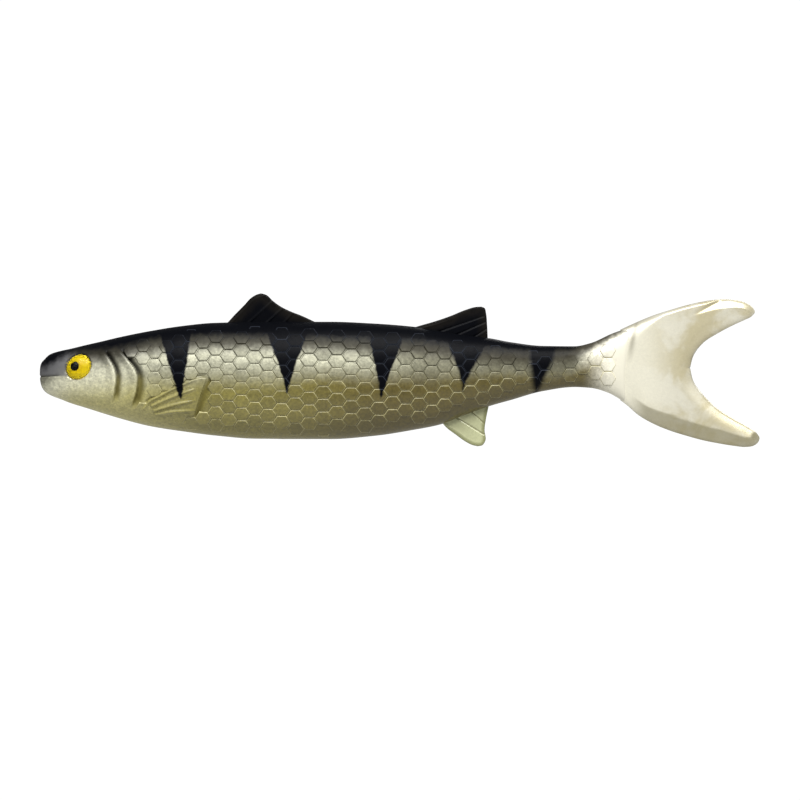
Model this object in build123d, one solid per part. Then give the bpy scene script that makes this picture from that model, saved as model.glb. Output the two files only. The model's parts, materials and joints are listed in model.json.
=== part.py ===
"""A soft swimbait: a cast PVC fish that carries a line tube and a brass keel weight, and swims by
bending at three places along its length. Millimetres, +X towards the tail, +Z up, and the origin
at the mouth of the line tube, just inside the nose. The fish's left flank is the -Y one.

The outline tables are shape only: X is a percentage of LENGTH, heights are a percentage of DEPTH
and half widths a percentage of WIDTH. Every other size is a length of its own."""

from build123d import *
import math
import os

# Overall sizes of the fish
LENGTH = 200.0  # nose to the tips of the tail
DEPTH = 32.9  # back to belly where it is deepest
WIDTH = 20.0  # across the flanks where it is widest

# Where the soft body bends, as a percentage of LENGTH, and how far it bends each way
BODY_FLEX_AT, BODY_SWING = 49.5, 10.0
STEM_FLEX_AT, STEM_SWING = 66.0, 25.0
TAIL_FLEX_AT, TAIL_SWING = 81.75, 40.0
FLEX_GAP = 0.3  # left free between two bodies over the whole swing

# Fins
FIN_THICKNESS = 1.4
FIN_ROOT_RADIUS = 0.8  # the round root that a free fin folds about
FIN_ROOT_SLOT = 1.3  # the groove in the body round that root
FIN_SWING = 20.0
TAIL_THICKNESS = 4.2
PECTORAL_RELIEF = 0.5  # how far the pectoral fins stand off the flank

# Eyes: a coloured bead glued into a socket, a black pupil on it, and a clear dome over both
EYE_LONG, EYE_SHORT, EYE_HEIGHT = 3.55, 3.1, 2.0
EYE_TILT = 45.0  # its long axis rises towards the tail
EYE_PROUD = 0.6  # how far the coloured bead stands off the flank
PUPIL_RADIUS, PUPIL_HEIGHT = 1.35, 0.45
PUPIL_PROUD = 0.15  # how far the pupil stands off the coloured bead
PUPIL_FORWARD = 0.9
LENS_WALL = 0.4
EYE_AT, EYE_RAISE = 5.4, 2.3  # percentage of LENGTH, and height above the nose hole

# What is cast inside
LINE_BORE = 1.0
TUBE_WALL = 0.4
TUBE_INSET = 1.0  # the tube's mouth lies this far behind the tip of the nose
NOSE_RIM = 0.7  # the flesh left round the line's hole at the tip of the nose
LINE_EXIT_AT = 30.0  # where the line leaves the belly, as a percentage of LENGTH
WEIGHT_RADIUS, WEIGHT_LENGTH = 3.4, 20.0
WEIGHT_FROM_NOSE = 24.0  # along the tube
WEIGHT_NOSE_RADIUS = 2.2  # the weight narrows to this at both ends
RIBBON_THICKNESS, RIBBON_HEIGHT = 0.5, 6.0
RIBBON_START_AT, RIBBON_END_AT = 32.0, 87.0
RIBBON_MARGIN = 1.5  # kept between the ribbon's ends and the faces at a bend
CAST_GAP = 0.03  # round everything that is cast or glued in

# The body's sections behind the tip of the nose: X, back, belly, half width
SECTIONS = [
    (0.15, 8.8, -6.1, 12.0),
    (0.7, 14.0, -13.1, 19.5),
    (1.5, 17.9, -16.7, 24.7),
    (3.0, 20.7, -20.4, 29.9),
    (5.0, 23.4, -24.3, 34.5),
    (8.0, 28.0, -30.1, 39.7),
    (12.0, 33.7, -37.4, 44.3),
    (16.0, 38.3, -43.2, 47.1),
    (21.0, 42.9, -47.7, 48.9),
    (27.0, 45.6, -52.3, 50.0),
    (33.0, 46.5, -53.5, 50.0),
    (39.0, 46.2, -53.5, 49.4),
    (44.0, 45.3, -52.3, 47.7),
    (49.0, 42.6, -49.5, 44.3),
    (54.0, 39.5, -44.4, 39.7),
    (59.0, 34.3, -36.2, 33.9),
    (64.0, 29.6, -23.7, 27.6),
    (69.0, 25.8, -14.3, 21.3),
    (74.0, 24.6, -9.7, 17.2),
    (77.0, 28.3, -10.9, 15.8),
    (79.5, 35.3, -15.8, 14.9),
    (82.0, 42.2, -26.1, 13.8),
]

# Fin outlines above or below a straight root: X and height of each point, front to back
FRONT_DORSAL_ROOT = ((26.2, 45.4), (39.3, 45.8))
FRONT_DORSAL = [(27.4, 52.0), (29.3, 64.8), (31.0, 69.6), (32.8, 62.9), (36.0, 53.0)]
REAR_DORSAL_ROOT = ((52.3, 40.3), (62.2, 31.4))
REAR_DORSAL = [(55.2, 45.6), (59.6, 56.2), (61.5, 58.8), (62.1, 55.0)]
ANAL_ROOT = ((55.9, -42.5), (62.3, -28.0))
ANAL = [(58.2, -52.3), (60.2, -58.8), (61.4, -60.5), (62.0, -57.0), (62.0, -45.0)]

# The pectoral fins' outline on the flank
PECTORAL_FRONT = (14.5, -29.5)
PECTORAL_TOP = [(17.5, -12.0), (20.5, -5.6), (23.3, -2.0)]
PECTORAL_BACK = (21.7, -31.5)
PECTORAL_UNDER = [(18.0, -34.0), (15.4, -33.6)]

# The forked tail, from the top of its root round to the bottom
TAIL_TOP = [(84.3, 48.6), (88.7, 57.8), (93.2, 63.2), (96.8, 64.6)]
TAIL_UPPER_TIP = [(98.6, 62.0), (99.2, 57.0), (98.9, 48.6)]
TAIL_FORK = [
    (95.5, 39.2),
    (93.2, 31.6),
    (91.2, 21.6),
    (90.3, 8.0),
    (90.8, -4.5),
    (92.1, -15.5),
    (95.4, -32.5),
    (98.8, -44.4),
]
TAIL_LOWER_TIP = [(100.0, -52.0), (99.6, -57.1), (98.2, -59.7)]
TAIL_UNDER = [(93.2, -55.3), (88.7, -48.6), (85.5, -41.0), (83.2, -33.4)]

FAR = 4 * LENGTH  # longer than anything here


def along(percent):
    """X of a place along the fish."""
    return percent / 100 * LENGTH - TUBE_INSET


def high(percent):
    """Height of a place, up from the nose hole."""
    return percent / 100 * DEPTH


def smooth(points):
    """A curve through (x, value) points that never overshoots them, as a function of x."""
    xs = [p[0] for p in points]
    ys = [p[1] for p in points]
    rises = [(ys[i + 1] - ys[i]) / (xs[i + 1] - xs[i]) for i in range(len(xs) - 1)]
    slopes = [rises[0]]
    for before, after in zip(rises, rises[1:]):
        slopes.append(0.0 if before * after <= 0 else 2 * before * after / (before + after))
    slopes.append(rises[-1])

    def value(x):
        i = max(k for k in range(len(xs) - 1) if k == 0 or xs[k] <= x)
        step = xs[i + 1] - xs[i]
        t = (x - xs[i]) / step
        start = (1 + 2 * t) * (1 - t) ** 2 * ys[i] + t * (1 - t) ** 2 * step * slopes[i]
        end = t * t * (3 - 2 * t) * ys[i + 1] + t * t * (t - 1) * step * slopes[i + 1]
        return start + end

    return value


LINE_HOLE = LINE_BORE + TUBE_WALL + CAST_GAP  # radius of the hole that the tube lies in
NOSE = LINE_HOLE + NOSE_RIM  # radius of the round tip of the nose
back = smooth([(along(0), NOSE)] + [(along(x), high(top)) for x, top, _, _ in SECTIONS])
belly = smooth([(along(0), -NOSE)] + [(along(x), high(bottom)) for x, _, bottom, _ in SECTIONS])
half_width = smooth([(along(0), NOSE)] + [(along(x), half / 100 * WIDTH) for x, _, _, half in SECTIONS])


def flank(x, z):
    """How far the flank stands from the middle plane at a place seen from the side."""
    middle, half = (back(x) + belly(x)) / 2, (back(x) - belly(x)) / 2
    return half_width(x) * math.sqrt(max(0.0, 1 - ((z - middle) / half) ** 2))


def whole_body(proud=0.0):
    """The cast body from the nose to the tail's root, with its skin moved out by proud."""
    rings = []
    for percent in [0.0] + [section[0] for section in SECTIONS]:
        x = along(percent)
        middle, half = (back(x) + belly(x)) / 2, (back(x) - belly(x)) / 2
        section = Plane(origin=(x, 0, middle), x_dir=(0, 1, 0), z_dir=(1, 0, 0))
        rings.append(section * Ellipse(half_width(x) + proud, half + proud))
    return loft(rings)


def behind(x):
    """All space behind a plane across the fish."""
    return Pos(x + FAR / 2, 0, 0) * Box(FAR, FAR, FAR)


def upright(x, radius):
    """An upright cylinder on the middle plane, as tall as the fish could be."""
    return Pos(x, 0, 0) * Cylinder(radius, FAR)


def bend_radius(x):
    """The part behind a bend has a round front of this radius about the bend's axis."""
    return half_width(x)


def bend_relief(x, swing):
    """How far in front of a bend's axis the part before it ends."""
    return half_width(x) * math.sin(math.radians(swing)) + FLEX_GAP


def ahead_of_bend(solid, x, swing):
    """What lies before a bend: cut square, with a hollow for the round front behind it."""
    square = solid - behind(x - bend_relief(x, swing))
    return square - upright(x, bend_radius(x) + FLEX_GAP)


def behind_bend(solid, x):
    """What lies behind a bend, with its round front."""
    return solid & (behind(x) + upright(x, bend_radius(x)))


def place(point):
    """A point of an outline table, on the middle plane."""
    return Vector(along(point[0]), 0, high(point[1]))


def plate(wires, thickness):
    """A flat plate on the middle plane inside a closed outline."""
    face = make_face(wires)
    return extrude(face, amount=thickness / 2, both=True, dir=(0, 1, 0))


def root_line(root):
    """Front point, direction and length of a fin's root."""
    front, rear = place(root[0]), place(root[1])
    return front, (rear - front).normalized(), (rear - front).length


def root_rod(root, radius, longer=0.0):
    """A rod along a fin's root."""
    front, direction, length = root_line(root)
    start = front - direction * longer
    return extrude(Plane(origin=start, z_dir=direction) * Circle(radius), amount=length + 2 * longer)


def free_fin(root, outline):
    """A thin fin that folds about its round root."""
    front, rear = place(root[0]), place(root[1])
    edge = Spline([front, *[place(p) for p in outline], rear])
    fin = plate([edge, Line(rear, front)], FIN_THICKNESS)
    return fin + root_rod(root, FIN_ROOT_RADIUS)


def root_slot(root):
    """The groove for a fin's root, open to the outside."""
    return root_rod(root, FIN_ROOT_SLOT, longer=FLEX_GAP)


def pectoral_fin(side):
    """A fin cast in relief on one flank: side is -1 for the left flank and 1 for the right."""
    front, rear, under = place(PECTORAL_FRONT), place(PECTORAL_TOP[-1]), place(PECTORAL_BACK)
    outline = [
        Spline([front, *[place(p) for p in PECTORAL_TOP]]),
        Line(rear, under),
        Spline([under, *[place(p) for p in PECTORAL_UNDER], front]),
    ]
    prism = extrude(make_face(outline), amount=side * WIDTH, dir=(0, 1, 0))
    return (prism & whole_body(PECTORAL_RELIEF)) - whole_body(CAST_GAP)


def tail_plate():
    """The forked tail, with a round front edge about the tail's bend."""
    x = along(TAIL_FLEX_AT)
    top, bottom = Vector(x, 0, back(x)), Vector(x, 0, belly(x))
    upper_tip, lower_tip = place(TAIL_UPPER_TIP[-1]), place(TAIL_LOWER_TIP[-1])
    outline = [
        Spline([top, *[place(p) for p in TAIL_TOP + TAIL_UPPER_TIP]]),
        Spline([upper_tip, *[place(p) for p in TAIL_FORK + TAIL_LOWER_TIP[:1]]]),
        Spline([place(TAIL_LOWER_TIP[0]), *[place(p) for p in TAIL_LOWER_TIP[1:]]]),
        Spline([lower_tip, *[place(p) for p in TAIL_UNDER], bottom]),
        Line(bottom, top),
    ]
    front = upright(x, TAIL_THICKNESS / 2) & whole_body()
    return plate(outline, TAIL_THICKNESS) + front


def eye_frame(side):
    """The plane of one eye: its origin is the bead's centre, and Z points out of the head."""
    x, z = along(EYE_AT), EYE_RAISE
    step = 0.5
    out = Vector(
        -(flank(x + step, z) - flank(x - step, z)) / (2 * step),
        1,
        -(flank(x, z + step) - flank(x, z - step)) / (2 * step),
    ).normalized()
    centre = Vector(x, flank(x, z), z) - out * (EYE_HEIGHT - EYE_PROUD)
    tilt = math.radians(EYE_TILT)
    return Plane(
        origin=(centre.X, side * centre.Y, centre.Z),
        x_dir=(math.cos(tilt), 0, math.sin(tilt)),
        z_dir=(out.X, side * out.Y, out.Z),
    )


def bead(radii, grow=0.0):
    """A domed bead with three radii."""
    return scale(Sphere(1), by=tuple(r + grow for r in radii))


def eye_bead(side, grow=0.0):
    """The coloured bead of an eye."""
    return eye_frame(side) * bead((EYE_LONG, EYE_SHORT, EYE_HEIGHT), grow)


def pupil_bead(side, grow=0.0):
    """The pupil, forward of the middle of the coloured bead and set into its dome."""
    frame = eye_frame(side)
    place_on_eye = frame.to_local_coords(frame.origin - Vector(PUPIL_FORWARD, 0, 0))
    share = 1 - (place_on_eye.X / EYE_LONG) ** 2 - (place_on_eye.Y / EYE_SHORT) ** 2
    height = EYE_HEIGHT * math.sqrt(share) + PUPIL_PROUD - PUPIL_HEIGHT
    pupil = bead((PUPIL_RADIUS, PUPIL_RADIUS, PUPIL_HEIGHT), grow)
    return frame * Pos(place_on_eye.X, place_on_eye.Y, height) * pupil


def lens_dome(side, grow=0.0):
    """The clear dome over the outer half of an eye, still solid."""
    wide = LENS_WALL + CAST_GAP + grow
    outer_half = Pos(0, 0, LENGTH / 2 - grow) * Box(LENGTH, LENGTH, LENGTH)
    return eye_frame(side) * (bead((EYE_LONG, EYE_SHORT, EYE_HEIGHT), wide) & outer_half)


def tube_plane():
    """The line tube's plane: it starts at the tube's mouth and Z runs down the tube."""
    exit_x = along(LINE_EXIT_AT)
    return Plane(origin=(0, 0, 0), z_dir=(exit_x, 0, belly(exit_x)))


def tube_length():
    """The tube ends where its lower side would come out of the belly."""
    exit_x = along(LINE_EXIT_AT)
    slope = math.atan2(-belly(exit_x), exit_x)
    to_axis_exit = math.hypot(exit_x, belly(exit_x))
    return to_axis_exit - (LINE_BORE + TUBE_WALL) / math.tan(slope) - CAST_GAP / math.sin(slope)


def line_hole():
    """The hole that the tube lies in, open at the nose and at the belly."""
    return extrude(tube_plane() * Circle(LINE_HOLE), amount=LENGTH / 2, both=True)


def line_tube():
    """The tube that the line runs through."""
    ring = Circle(LINE_BORE + TUBE_WALL) - Circle(LINE_BORE)
    return extrude(tube_plane() * ring, amount=tube_length())


def keel_weight(grow=0.0):
    """A barrel-shaped brass weight threaded on the line tube."""
    half = WEIGHT_LENGTH / 2
    middle = WEIGHT_FROM_NOSE + half
    profile = [
        Line((0, -half - grow), (WEIGHT_NOSE_RADIUS + grow, -half - grow)),
        ThreePointArc(
            (WEIGHT_NOSE_RADIUS + grow, -half - grow),
            (WEIGHT_RADIUS + grow, 0),
            (WEIGHT_NOSE_RADIUS + grow, half + grow),
        ),
        Line((WEIGHT_NOSE_RADIUS + grow, half + grow), (0, half + grow)),
        Line((0, half + grow), (0, -half - grow)),
    ]
    barrel = revolve(Plane.XZ * make_face(profile), Axis.Z)
    return tube_plane() * Pos(0, 0, middle) * barrel


def ribbon(start, end, grow=0.0):
    """One length of the woven ribbon that runs down the middle of the body."""
    middle_x = (start + end) / 2
    bottom, top = ribbon_height(start), ribbon_height(end)
    slope = math.degrees(math.atan2(top - bottom, end - start))
    length = math.hypot(end - start, top - bottom)
    size = (length + 2 * grow, RIBBON_THICKNESS + 2 * grow, RIBBON_HEIGHT + 2 * grow)
    return Pos(middle_x, 0, (bottom + top) / 2) * Rot(0, -slope, 0) * Box(*size)


def ribbon_height(x):
    """The ribbon keeps to the middle of the body's depth."""
    return (back(x) + belly(x)) / 2


def ribbon_runs():
    """Start and end of each length of ribbon, between one bend and the next."""
    bends = [
        (along(BODY_FLEX_AT), BODY_SWING),
        (along(STEM_FLEX_AT), STEM_SWING),
        (along(TAIL_FLEX_AT), TAIL_SWING),
    ]
    runs, start = [], along(RIBBON_START_AT)
    for x, _ in bends:
        radius = TAIL_THICKNESS / 2 if x == along(TAIL_FLEX_AT) else bend_radius(x)
        runs.append((start, x - radius - FLEX_GAP - RIBBON_MARGIN))
        start = x - radius + RIBBON_MARGIN
    runs.append((start, along(RIBBON_END_AT)))
    return runs


def build():
    """Every piece of the swimbait, by name."""
    body_x, stem_x, tail_x = (along(p) for p in (BODY_FLEX_AT, STEM_FLEX_AT, TAIL_FLEX_AT))
    skin = whole_body()
    rear_and_stem = behind_bend(skin, body_x)
    front = ahead_of_bend(skin, body_x, BODY_SWING)
    rear = ahead_of_bend(rear_and_stem, stem_x, STEM_SWING)
    stem = behind_bend(skin, stem_x) - behind(tail_x - TAIL_THICKNESS / 2)
    stem -= upright(tail_x, TAIL_THICKNESS / 2 + FLEX_GAP)
    tail = tail_plate()
    owners = [front, rear, stem, tail]
    ribbons = []
    for i, (start, end) in enumerate(ribbon_runs()):
        owners[i] -= ribbon(start, end, CAST_GAP)
        ribbons.append(ribbon(start, end))
    front, rear, stem, tail = owners

    front -= root_slot(FRONT_DORSAL_ROOT)
    rear -= root_slot(REAR_DORSAL_ROOT)
    rear -= root_slot(ANAL_ROOT)
    front -= line_hole()
    front -= keel_weight(CAST_GAP)
    for side in (1, -1):
        front -= lens_dome(side, CAST_GAP)
        front -= eye_bead(side, CAST_GAP)

    pieces = {
        "front_body": front,
        "rear_body": rear,
        "tail_stem": stem,
        "tail_fin": tail,
        "front_dorsal_fin": free_fin(FRONT_DORSAL_ROOT, FRONT_DORSAL),
        "rear_dorsal_fin": free_fin(REAR_DORSAL_ROOT, REAR_DORSAL),
        "anal_fin": free_fin(ANAL_ROOT, ANAL),
        "line_tube": line_tube(),
        "keel_weight": keel_weight() - line_hole(),
    }
    for name, solid in zip(("front", "rear", "stem", "tail"), ribbons):
        pieces[f"spine_ribbon_{name}"] = solid
    for word, side in (("left", -1), ("right", 1)):
        eye, pupil = eye_bead(side), pupil_bead(side)
        pieces[f"{word}_pectoral_fin"] = pectoral_fin(side)
        pieces[f"{word}_eye"] = eye - pupil_bead(side, CAST_GAP)
        pieces[f"{word}_pupil"] = pupil
        pieces[f"{word}_eye_lens"] = lens_dome(side) - eye_bead(side, CAST_GAP) - pupil_bead(side, CAST_GAP)
    return pieces


os.makedirs("parts", exist_ok=True)
for name, solid in build().items():
    export_step(solid, f"parts/{name}.step")
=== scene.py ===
"""A soft cast swimbait, modelled round its frame.

The frame gives the places of the bends, the fins' roots, the eyes and the line tube. This file
models the cast skin with its hexagonal scales, the forked tail, the fins and the eyes, and gives
each of them the finish of a hand-painted PVC lure. Places below are in millimetres: X from the
nose to the tail, Z up, and the left flank on the -Y side."""

import json
import math

import bpy
import numpy as np
from bpy.props import FloatProperty, FloatVectorProperty, PointerProperty
from mathutils import Matrix, Vector


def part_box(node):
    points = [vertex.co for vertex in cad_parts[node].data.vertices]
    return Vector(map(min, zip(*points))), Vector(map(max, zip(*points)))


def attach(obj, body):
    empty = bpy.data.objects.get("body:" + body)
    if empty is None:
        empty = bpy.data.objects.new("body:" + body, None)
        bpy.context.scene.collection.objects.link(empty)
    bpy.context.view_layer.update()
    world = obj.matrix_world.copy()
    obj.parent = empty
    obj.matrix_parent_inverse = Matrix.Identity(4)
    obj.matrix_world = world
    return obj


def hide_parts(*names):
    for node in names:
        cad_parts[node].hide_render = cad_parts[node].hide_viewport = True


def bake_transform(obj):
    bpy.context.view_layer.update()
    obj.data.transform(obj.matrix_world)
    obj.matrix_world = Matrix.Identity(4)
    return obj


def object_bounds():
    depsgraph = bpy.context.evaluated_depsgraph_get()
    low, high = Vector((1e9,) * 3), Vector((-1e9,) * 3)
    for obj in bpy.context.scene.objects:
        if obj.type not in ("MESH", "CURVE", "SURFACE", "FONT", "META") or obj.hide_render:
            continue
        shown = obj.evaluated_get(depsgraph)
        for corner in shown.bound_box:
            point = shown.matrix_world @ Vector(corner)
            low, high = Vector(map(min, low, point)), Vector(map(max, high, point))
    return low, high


bl_info = {
    "name": "Soft swimbait",
    "version": (1, 0, 0),
    "blender": (4, 5, 0),
    "location": "3D View > Sidebar > Swimbait",
    "description": "Models a soft cast swimbait on its frame, with scales, fins, tail and eyes",
    "category": "Add Mesh",
}

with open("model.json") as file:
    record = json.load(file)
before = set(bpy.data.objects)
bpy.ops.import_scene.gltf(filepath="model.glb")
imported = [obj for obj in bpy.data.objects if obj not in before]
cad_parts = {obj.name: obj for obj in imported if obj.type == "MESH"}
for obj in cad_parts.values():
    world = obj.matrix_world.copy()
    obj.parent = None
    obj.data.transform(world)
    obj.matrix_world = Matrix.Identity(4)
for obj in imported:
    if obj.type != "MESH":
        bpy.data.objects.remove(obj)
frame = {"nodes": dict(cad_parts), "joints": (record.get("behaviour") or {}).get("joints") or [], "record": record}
CAD_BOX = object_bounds()
MM = 0.001
JOINTS = {joint["name"]: joint for joint in frame["joints"]}


def linear(hex_colour):
    """Linear red, green and blue of an sRGB hex colour."""
    values = [int(hex_colour[i:i + 2], 16) / 255 for i in (1, 3, 5)]
    return tuple(v / 12.92 if v <= 0.04045 else ((v + 0.055) / 1.055) ** 2.4 for v in values)


# ---------------------------------------------------------------- sizes and colours


class SwimbaitSizes(bpy.types.PropertyGroup):
    """Sizes of the modelled surface."""

    flank_squareness: FloatProperty(
        name="Flank squareness", default=2.25, min=2.0, max=4.0,
        description="2 makes each section an ellipse, and more makes the flanks flatter")
    scale_height: FloatProperty(
        name="Scale height", default=0.23 * MM, min=0.0, max=1 * MM, precision=5, unit="LENGTH",
        description="How far a scale stands out of the groove round it")
    scale_flatness: FloatProperty(
        name="Scale flatness", default=0.6, min=0.0, max=1.0, subtype="FACTOR",
        description="0 bends each scale with the flank, and 1 makes it a flat facet")
    gill_depth: FloatProperty(
        name="Gill groove depth", default=1.15 * MM, min=0.0, max=2 * MM, precision=5, unit="LENGTH",
        description="Depth of the two gill grooves")
    fin_thickness: FloatProperty(
        name="Fin thickness", default=1.5 * MM, min=0.5 * MM, max=3 * MM, precision=5, unit="LENGTH",
        description="Thickness of the free fins' thickest parts, without their rays")
    tail_thickness: FloatProperty(
        name="Tail thickness", default=4.6 * MM, min=2 * MM, max=8 * MM, precision=5, unit="LENGTH",
        description="Thickness of the middle of the tail")


class SwimbaitColours(bpy.types.PropertyGroup):
    """Colours of the cast and painted surfaces."""

    black: FloatVectorProperty(
        name="Back and bars", subtype="COLOR", size=3, default=linear("#06070b"),
        description="Black lacquer of the back, the bars and the dorsal fins")
    dusk: FloatVectorProperty(
        name="Thin black", subtype="COLOR", size=3, default=linear("#343128"),
        description="Where the black is sprayed thin over the pearl")
    head_pearl: FloatVectorProperty(
        name="Head pearl", subtype="COLOR", size=3, default=linear("#dddbc0"),
        description="Pearl of the cheeks and the gill plates")
    flank_pearl: FloatVectorProperty(
        name="Flank pearl", subtype="COLOR", size=3, default=linear("#b0af98"),
        description="Pearl of the upper flank")
    rear_pearl: FloatVectorProperty(
        name="Rear pearl", subtype="COLOR", size=3, default=linear("#85836d"),
        description="Thin pearl of the flank towards the tail")
    throat: FloatVectorProperty(
        name="Throat", subtype="COLOR", size=3, default=linear("#b4ad72"),
        description="Clear cast under the head")
    belly: FloatVectorProperty(
        name="Belly", subtype="COLOR", size=3, default=linear("#7b7338"),
        description="Olive cast of the lower flank")
    rear_belly: FloatVectorProperty(
        name="Rear belly", subtype="COLOR", size=3, default=linear("#544a1c"),
        description="Deeper olive of the lower flank towards the tail")
    tail_cream: FloatVectorProperty(
        name="Tail cream", subtype="COLOR", size=3, default=linear("#c3ba99"),
        description="Creamier drifts in the tail's pearl")
    tail: FloatVectorProperty(
        name="Tail", subtype="COLOR", size=3, default=linear("#dad6c4"),
        description="White pearl of the tail")
    anal_fin: FloatVectorProperty(
        name="Anal fin", subtype="COLOR", size=3, default=linear("#bcbe95"),
        description="Pale cast of the anal fin")
    # The stem's white is partly the tail's pearl and partly a painted highlight
    stem_pearl_and_highlight: FloatVectorProperty(
        name="Stem pearl", subtype="COLOR", size=3, default=linear("#ece8d4"),
        description="White pearl where the stem meets the tail")
    iris: FloatVectorProperty(
        name="Iris", subtype="COLOR", size=3, default=linear("#d2b70c"),
        description="Yellow lacquer of the eye")


def sizes():
    """The sizes set in the scene."""
    return bpy.context.scene.swimbait_sizes


def colours():
    """The colours set in the scene."""
    return bpy.context.scene.swimbait_colours


# ---------------------------------------------------------------- outlines


def smooth(points):
    """A curve through (x, value) points that never overshoots them, as a function of x."""
    xs = np.array([p[0] for p in points], float)
    ys = np.array([p[1] for p in points], float)
    rises = np.diff(ys) / np.diff(xs)
    slopes = np.zeros(len(xs))
    slopes[0], slopes[-1] = rises[0], rises[-1]
    for i in range(1, len(xs) - 1):
        before, after = rises[i - 1], rises[i]
        slopes[i] = 0.0 if before * after <= 0 else 2 * before * after / (before + after)

    def value(x):
        x = np.clip(np.asarray(x, float), xs[0], xs[-1])
        i = np.clip(np.searchsorted(xs, x, side="right") - 1, 0, len(xs) - 2)
        step = xs[i + 1] - xs[i]
        t = (x - xs[i]) / step
        start = (1 + 2 * t) * (1 - t) ** 2 * ys[i] + t * (1 - t) ** 2 * step * slopes[i]
        end = t * t * (3 - 2 * t) * ys[i + 1] + t * t * (t - 1) * step * slopes[i + 1]
        return start + end

    return value


def spline(points):
    """A rounded path through (x, z) points, as a function of 0 to 1 along its length."""
    p = np.array(points, float)
    run = np.concatenate([[0], np.cumsum(np.hypot(*np.diff(p, axis=0).T))])
    tangents = np.gradient(p, run, axis=0)

    def place(t):
        s = np.clip(np.asarray(t, float), 0, 1) * run[-1]
        i = np.clip(np.searchsorted(run, s, side="right") - 1, 0, len(run) - 2)
        step = (run[i + 1] - run[i])[..., None]
        k = ((s - run[i]) / step[..., 0])[..., None]
        start = (1 + 2 * k) * (1 - k) ** 2 * p[i] + k * (1 - k) ** 2 * step * tangents[i]
        end = k * k * (3 - 2 * k) * p[i + 1] + k * k * (k - 1) * step * tangents[i + 1]
        return start + end

    return place


def rise(value, low, high):
    """0 below low, 1 above high and a smooth step between them. Low may be the larger."""
    t = np.clip((value - low) / (high - low), 0, 1)
    return t * t * (3 - 2 * t)


def distance_to(path, x, z):
    """Distance in the side view from each place to a path."""
    line = path(np.linspace(0, 1, 201))
    spots = np.stack([x, z], axis=1)
    nearest = np.full(len(spots), np.inf)
    for begin, end in zip(line[:-1], line[1:]):
        run = end - begin
        share = np.clip((spots - begin) @ run / max(run @ run, 1e-12), 0, 1)
        nearest = np.minimum(nearest, np.hypot(*(spots - begin - share[:, None] * run).T))
    return nearest


def round_edge(distance, width):
    """0 at an edge and 1 from width inwards, as round as a quarter circle."""
    t = np.clip(distance / width, 0, 1)
    return np.sqrt(1 - (1 - t) ** 2)


def bevelled(distance, width, low):
    """A flat face that climbs from a share of the height at an edge to all of it at a ridge."""
    return round_edge(distance, 0.7) * (low + (1 - low) * np.clip(distance / width, 0, 1))


NOSE_X = CAD_BOX[0][0] / MM
TAIL_SEAM_X = 161.8  # where the stem's skin ends against the tail

# The body's outline behind the nose: X, back, belly, half width
OUTLINE = [
    (-0.8, 2.4, -2.6, 2.3), (0.3, 4.0, -4.9, 3.7), (1.9, 5.4, -6.0, 4.9), (4.7, 6.3, -7.1, 6.1),
    (7.5, 6.9, -8.2, 6.9), (12, 8.0, -9.6, 7.8), (16.4, 9.0, -11.0, 8.5), (21, 10.1, -12.4, 9.0),
    (30, 11.9, -14.7, 9.5), (39, 13.3, -16.1, 9.8), (47.5, 14.1, -17.2, 10.0),
    (61, 14.35, -18.2, 10.0), (80, 14.4, -18.2, 9.7), (92, 13.9, -17.3, 9.1),
    (103, 13.0, -15.6, 8.3), (110, 11.8, -14.2, 7.7), (116, 10.8, -11.9, 7.1),
    (124, 9.8, -9.0, 6.0), (130, 8.7, -7.3, 5.2), (138.6, 7.7, -4.9, 4.2),
    (147.5, 7.6, -3.75, 3.5), (152, 8.5, -4.0, 3.25), (156.5, 10.5, -5.2, 3.05),
    (160.8, 12.7, -7.7, 2.9), (164, 14.0, -10.6, 2.8),
]


def from_nose(column):
    """One column of the outline against the root of the distance from the nose, so that the
    nose comes out round."""
    tip = [(0.0, 0.0)] if column == 3 else [(0.0, -0.05)]
    return smooth(tip + [(math.sqrt(row[0] - NOSE_X), row[column]) for row in OUTLINE])


BACK, BELLY, HALF_WIDTH = from_nose(1), from_nose(2), from_nose(3)


def section(x):
    """Middle height, half height and half width of the body at X."""
    r = np.sqrt(np.maximum(np.asarray(x, float) - NOSE_X, 0))
    back, belly = BACK(r), BELLY(r)
    return (back + belly) / 2, (back - belly) / 2, HALF_WIDTH(r)


def flank(x, z):
    """How far the smooth flank stands from the middle plane at a place seen from the side."""
    middle, half, wide = section(x)
    power = sizes().flank_squareness
    share = np.clip(np.abs((z - middle) / half), 0, 1)
    return wide * (1 - share ** power) ** (1 / power)


def flank_slope(x, z, step=0.1):
    """Slopes of the flank along X and Z."""
    along = (flank(x + step, z) - flank(x - step, z)) / (2 * step)
    up = (flank(x, z + step) - flank(x, z - step)) / (2 * step)
    return along, up


# ---------------------------------------------------------------- modelling helpers


def take(obj):
    """Make this the only selected object, in object mode."""
    if bpy.context.object and bpy.context.object.mode != "OBJECT":
        bpy.ops.object.mode_set(mode="OBJECT")
    bpy.ops.object.select_all(action="DESELECT")
    obj.select_set(True)
    bpy.context.view_layer.objects.active = obj


def start(add, name, **settings):
    """Add a primitive with nothing else selected, and name it."""
    bpy.ops.object.select_all(action="DESELECT")
    add(**settings)
    obj = bpy.context.object
    obj.name = name
    obj.data.name = name
    return obj


def edit(obj, action="SELECT", mode="VERT"):
    """Edit the object with all or none of it selected."""
    take(obj)
    bpy.ops.object.mode_set(mode="EDIT")
    bpy.ops.mesh.select_mode(type=mode)
    bpy.ops.mesh.select_all(action=action)


def leave():
    """Go back to object mode."""
    bpy.ops.object.mode_set(mode="OBJECT")


def corners(obj):
    """The mesh's places in millimetres."""
    co = np.zeros(len(obj.data.vertices) * 3)
    obj.data.vertices.foreach_get("co", co)
    return co.reshape(-1, 3) / MM


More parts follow.
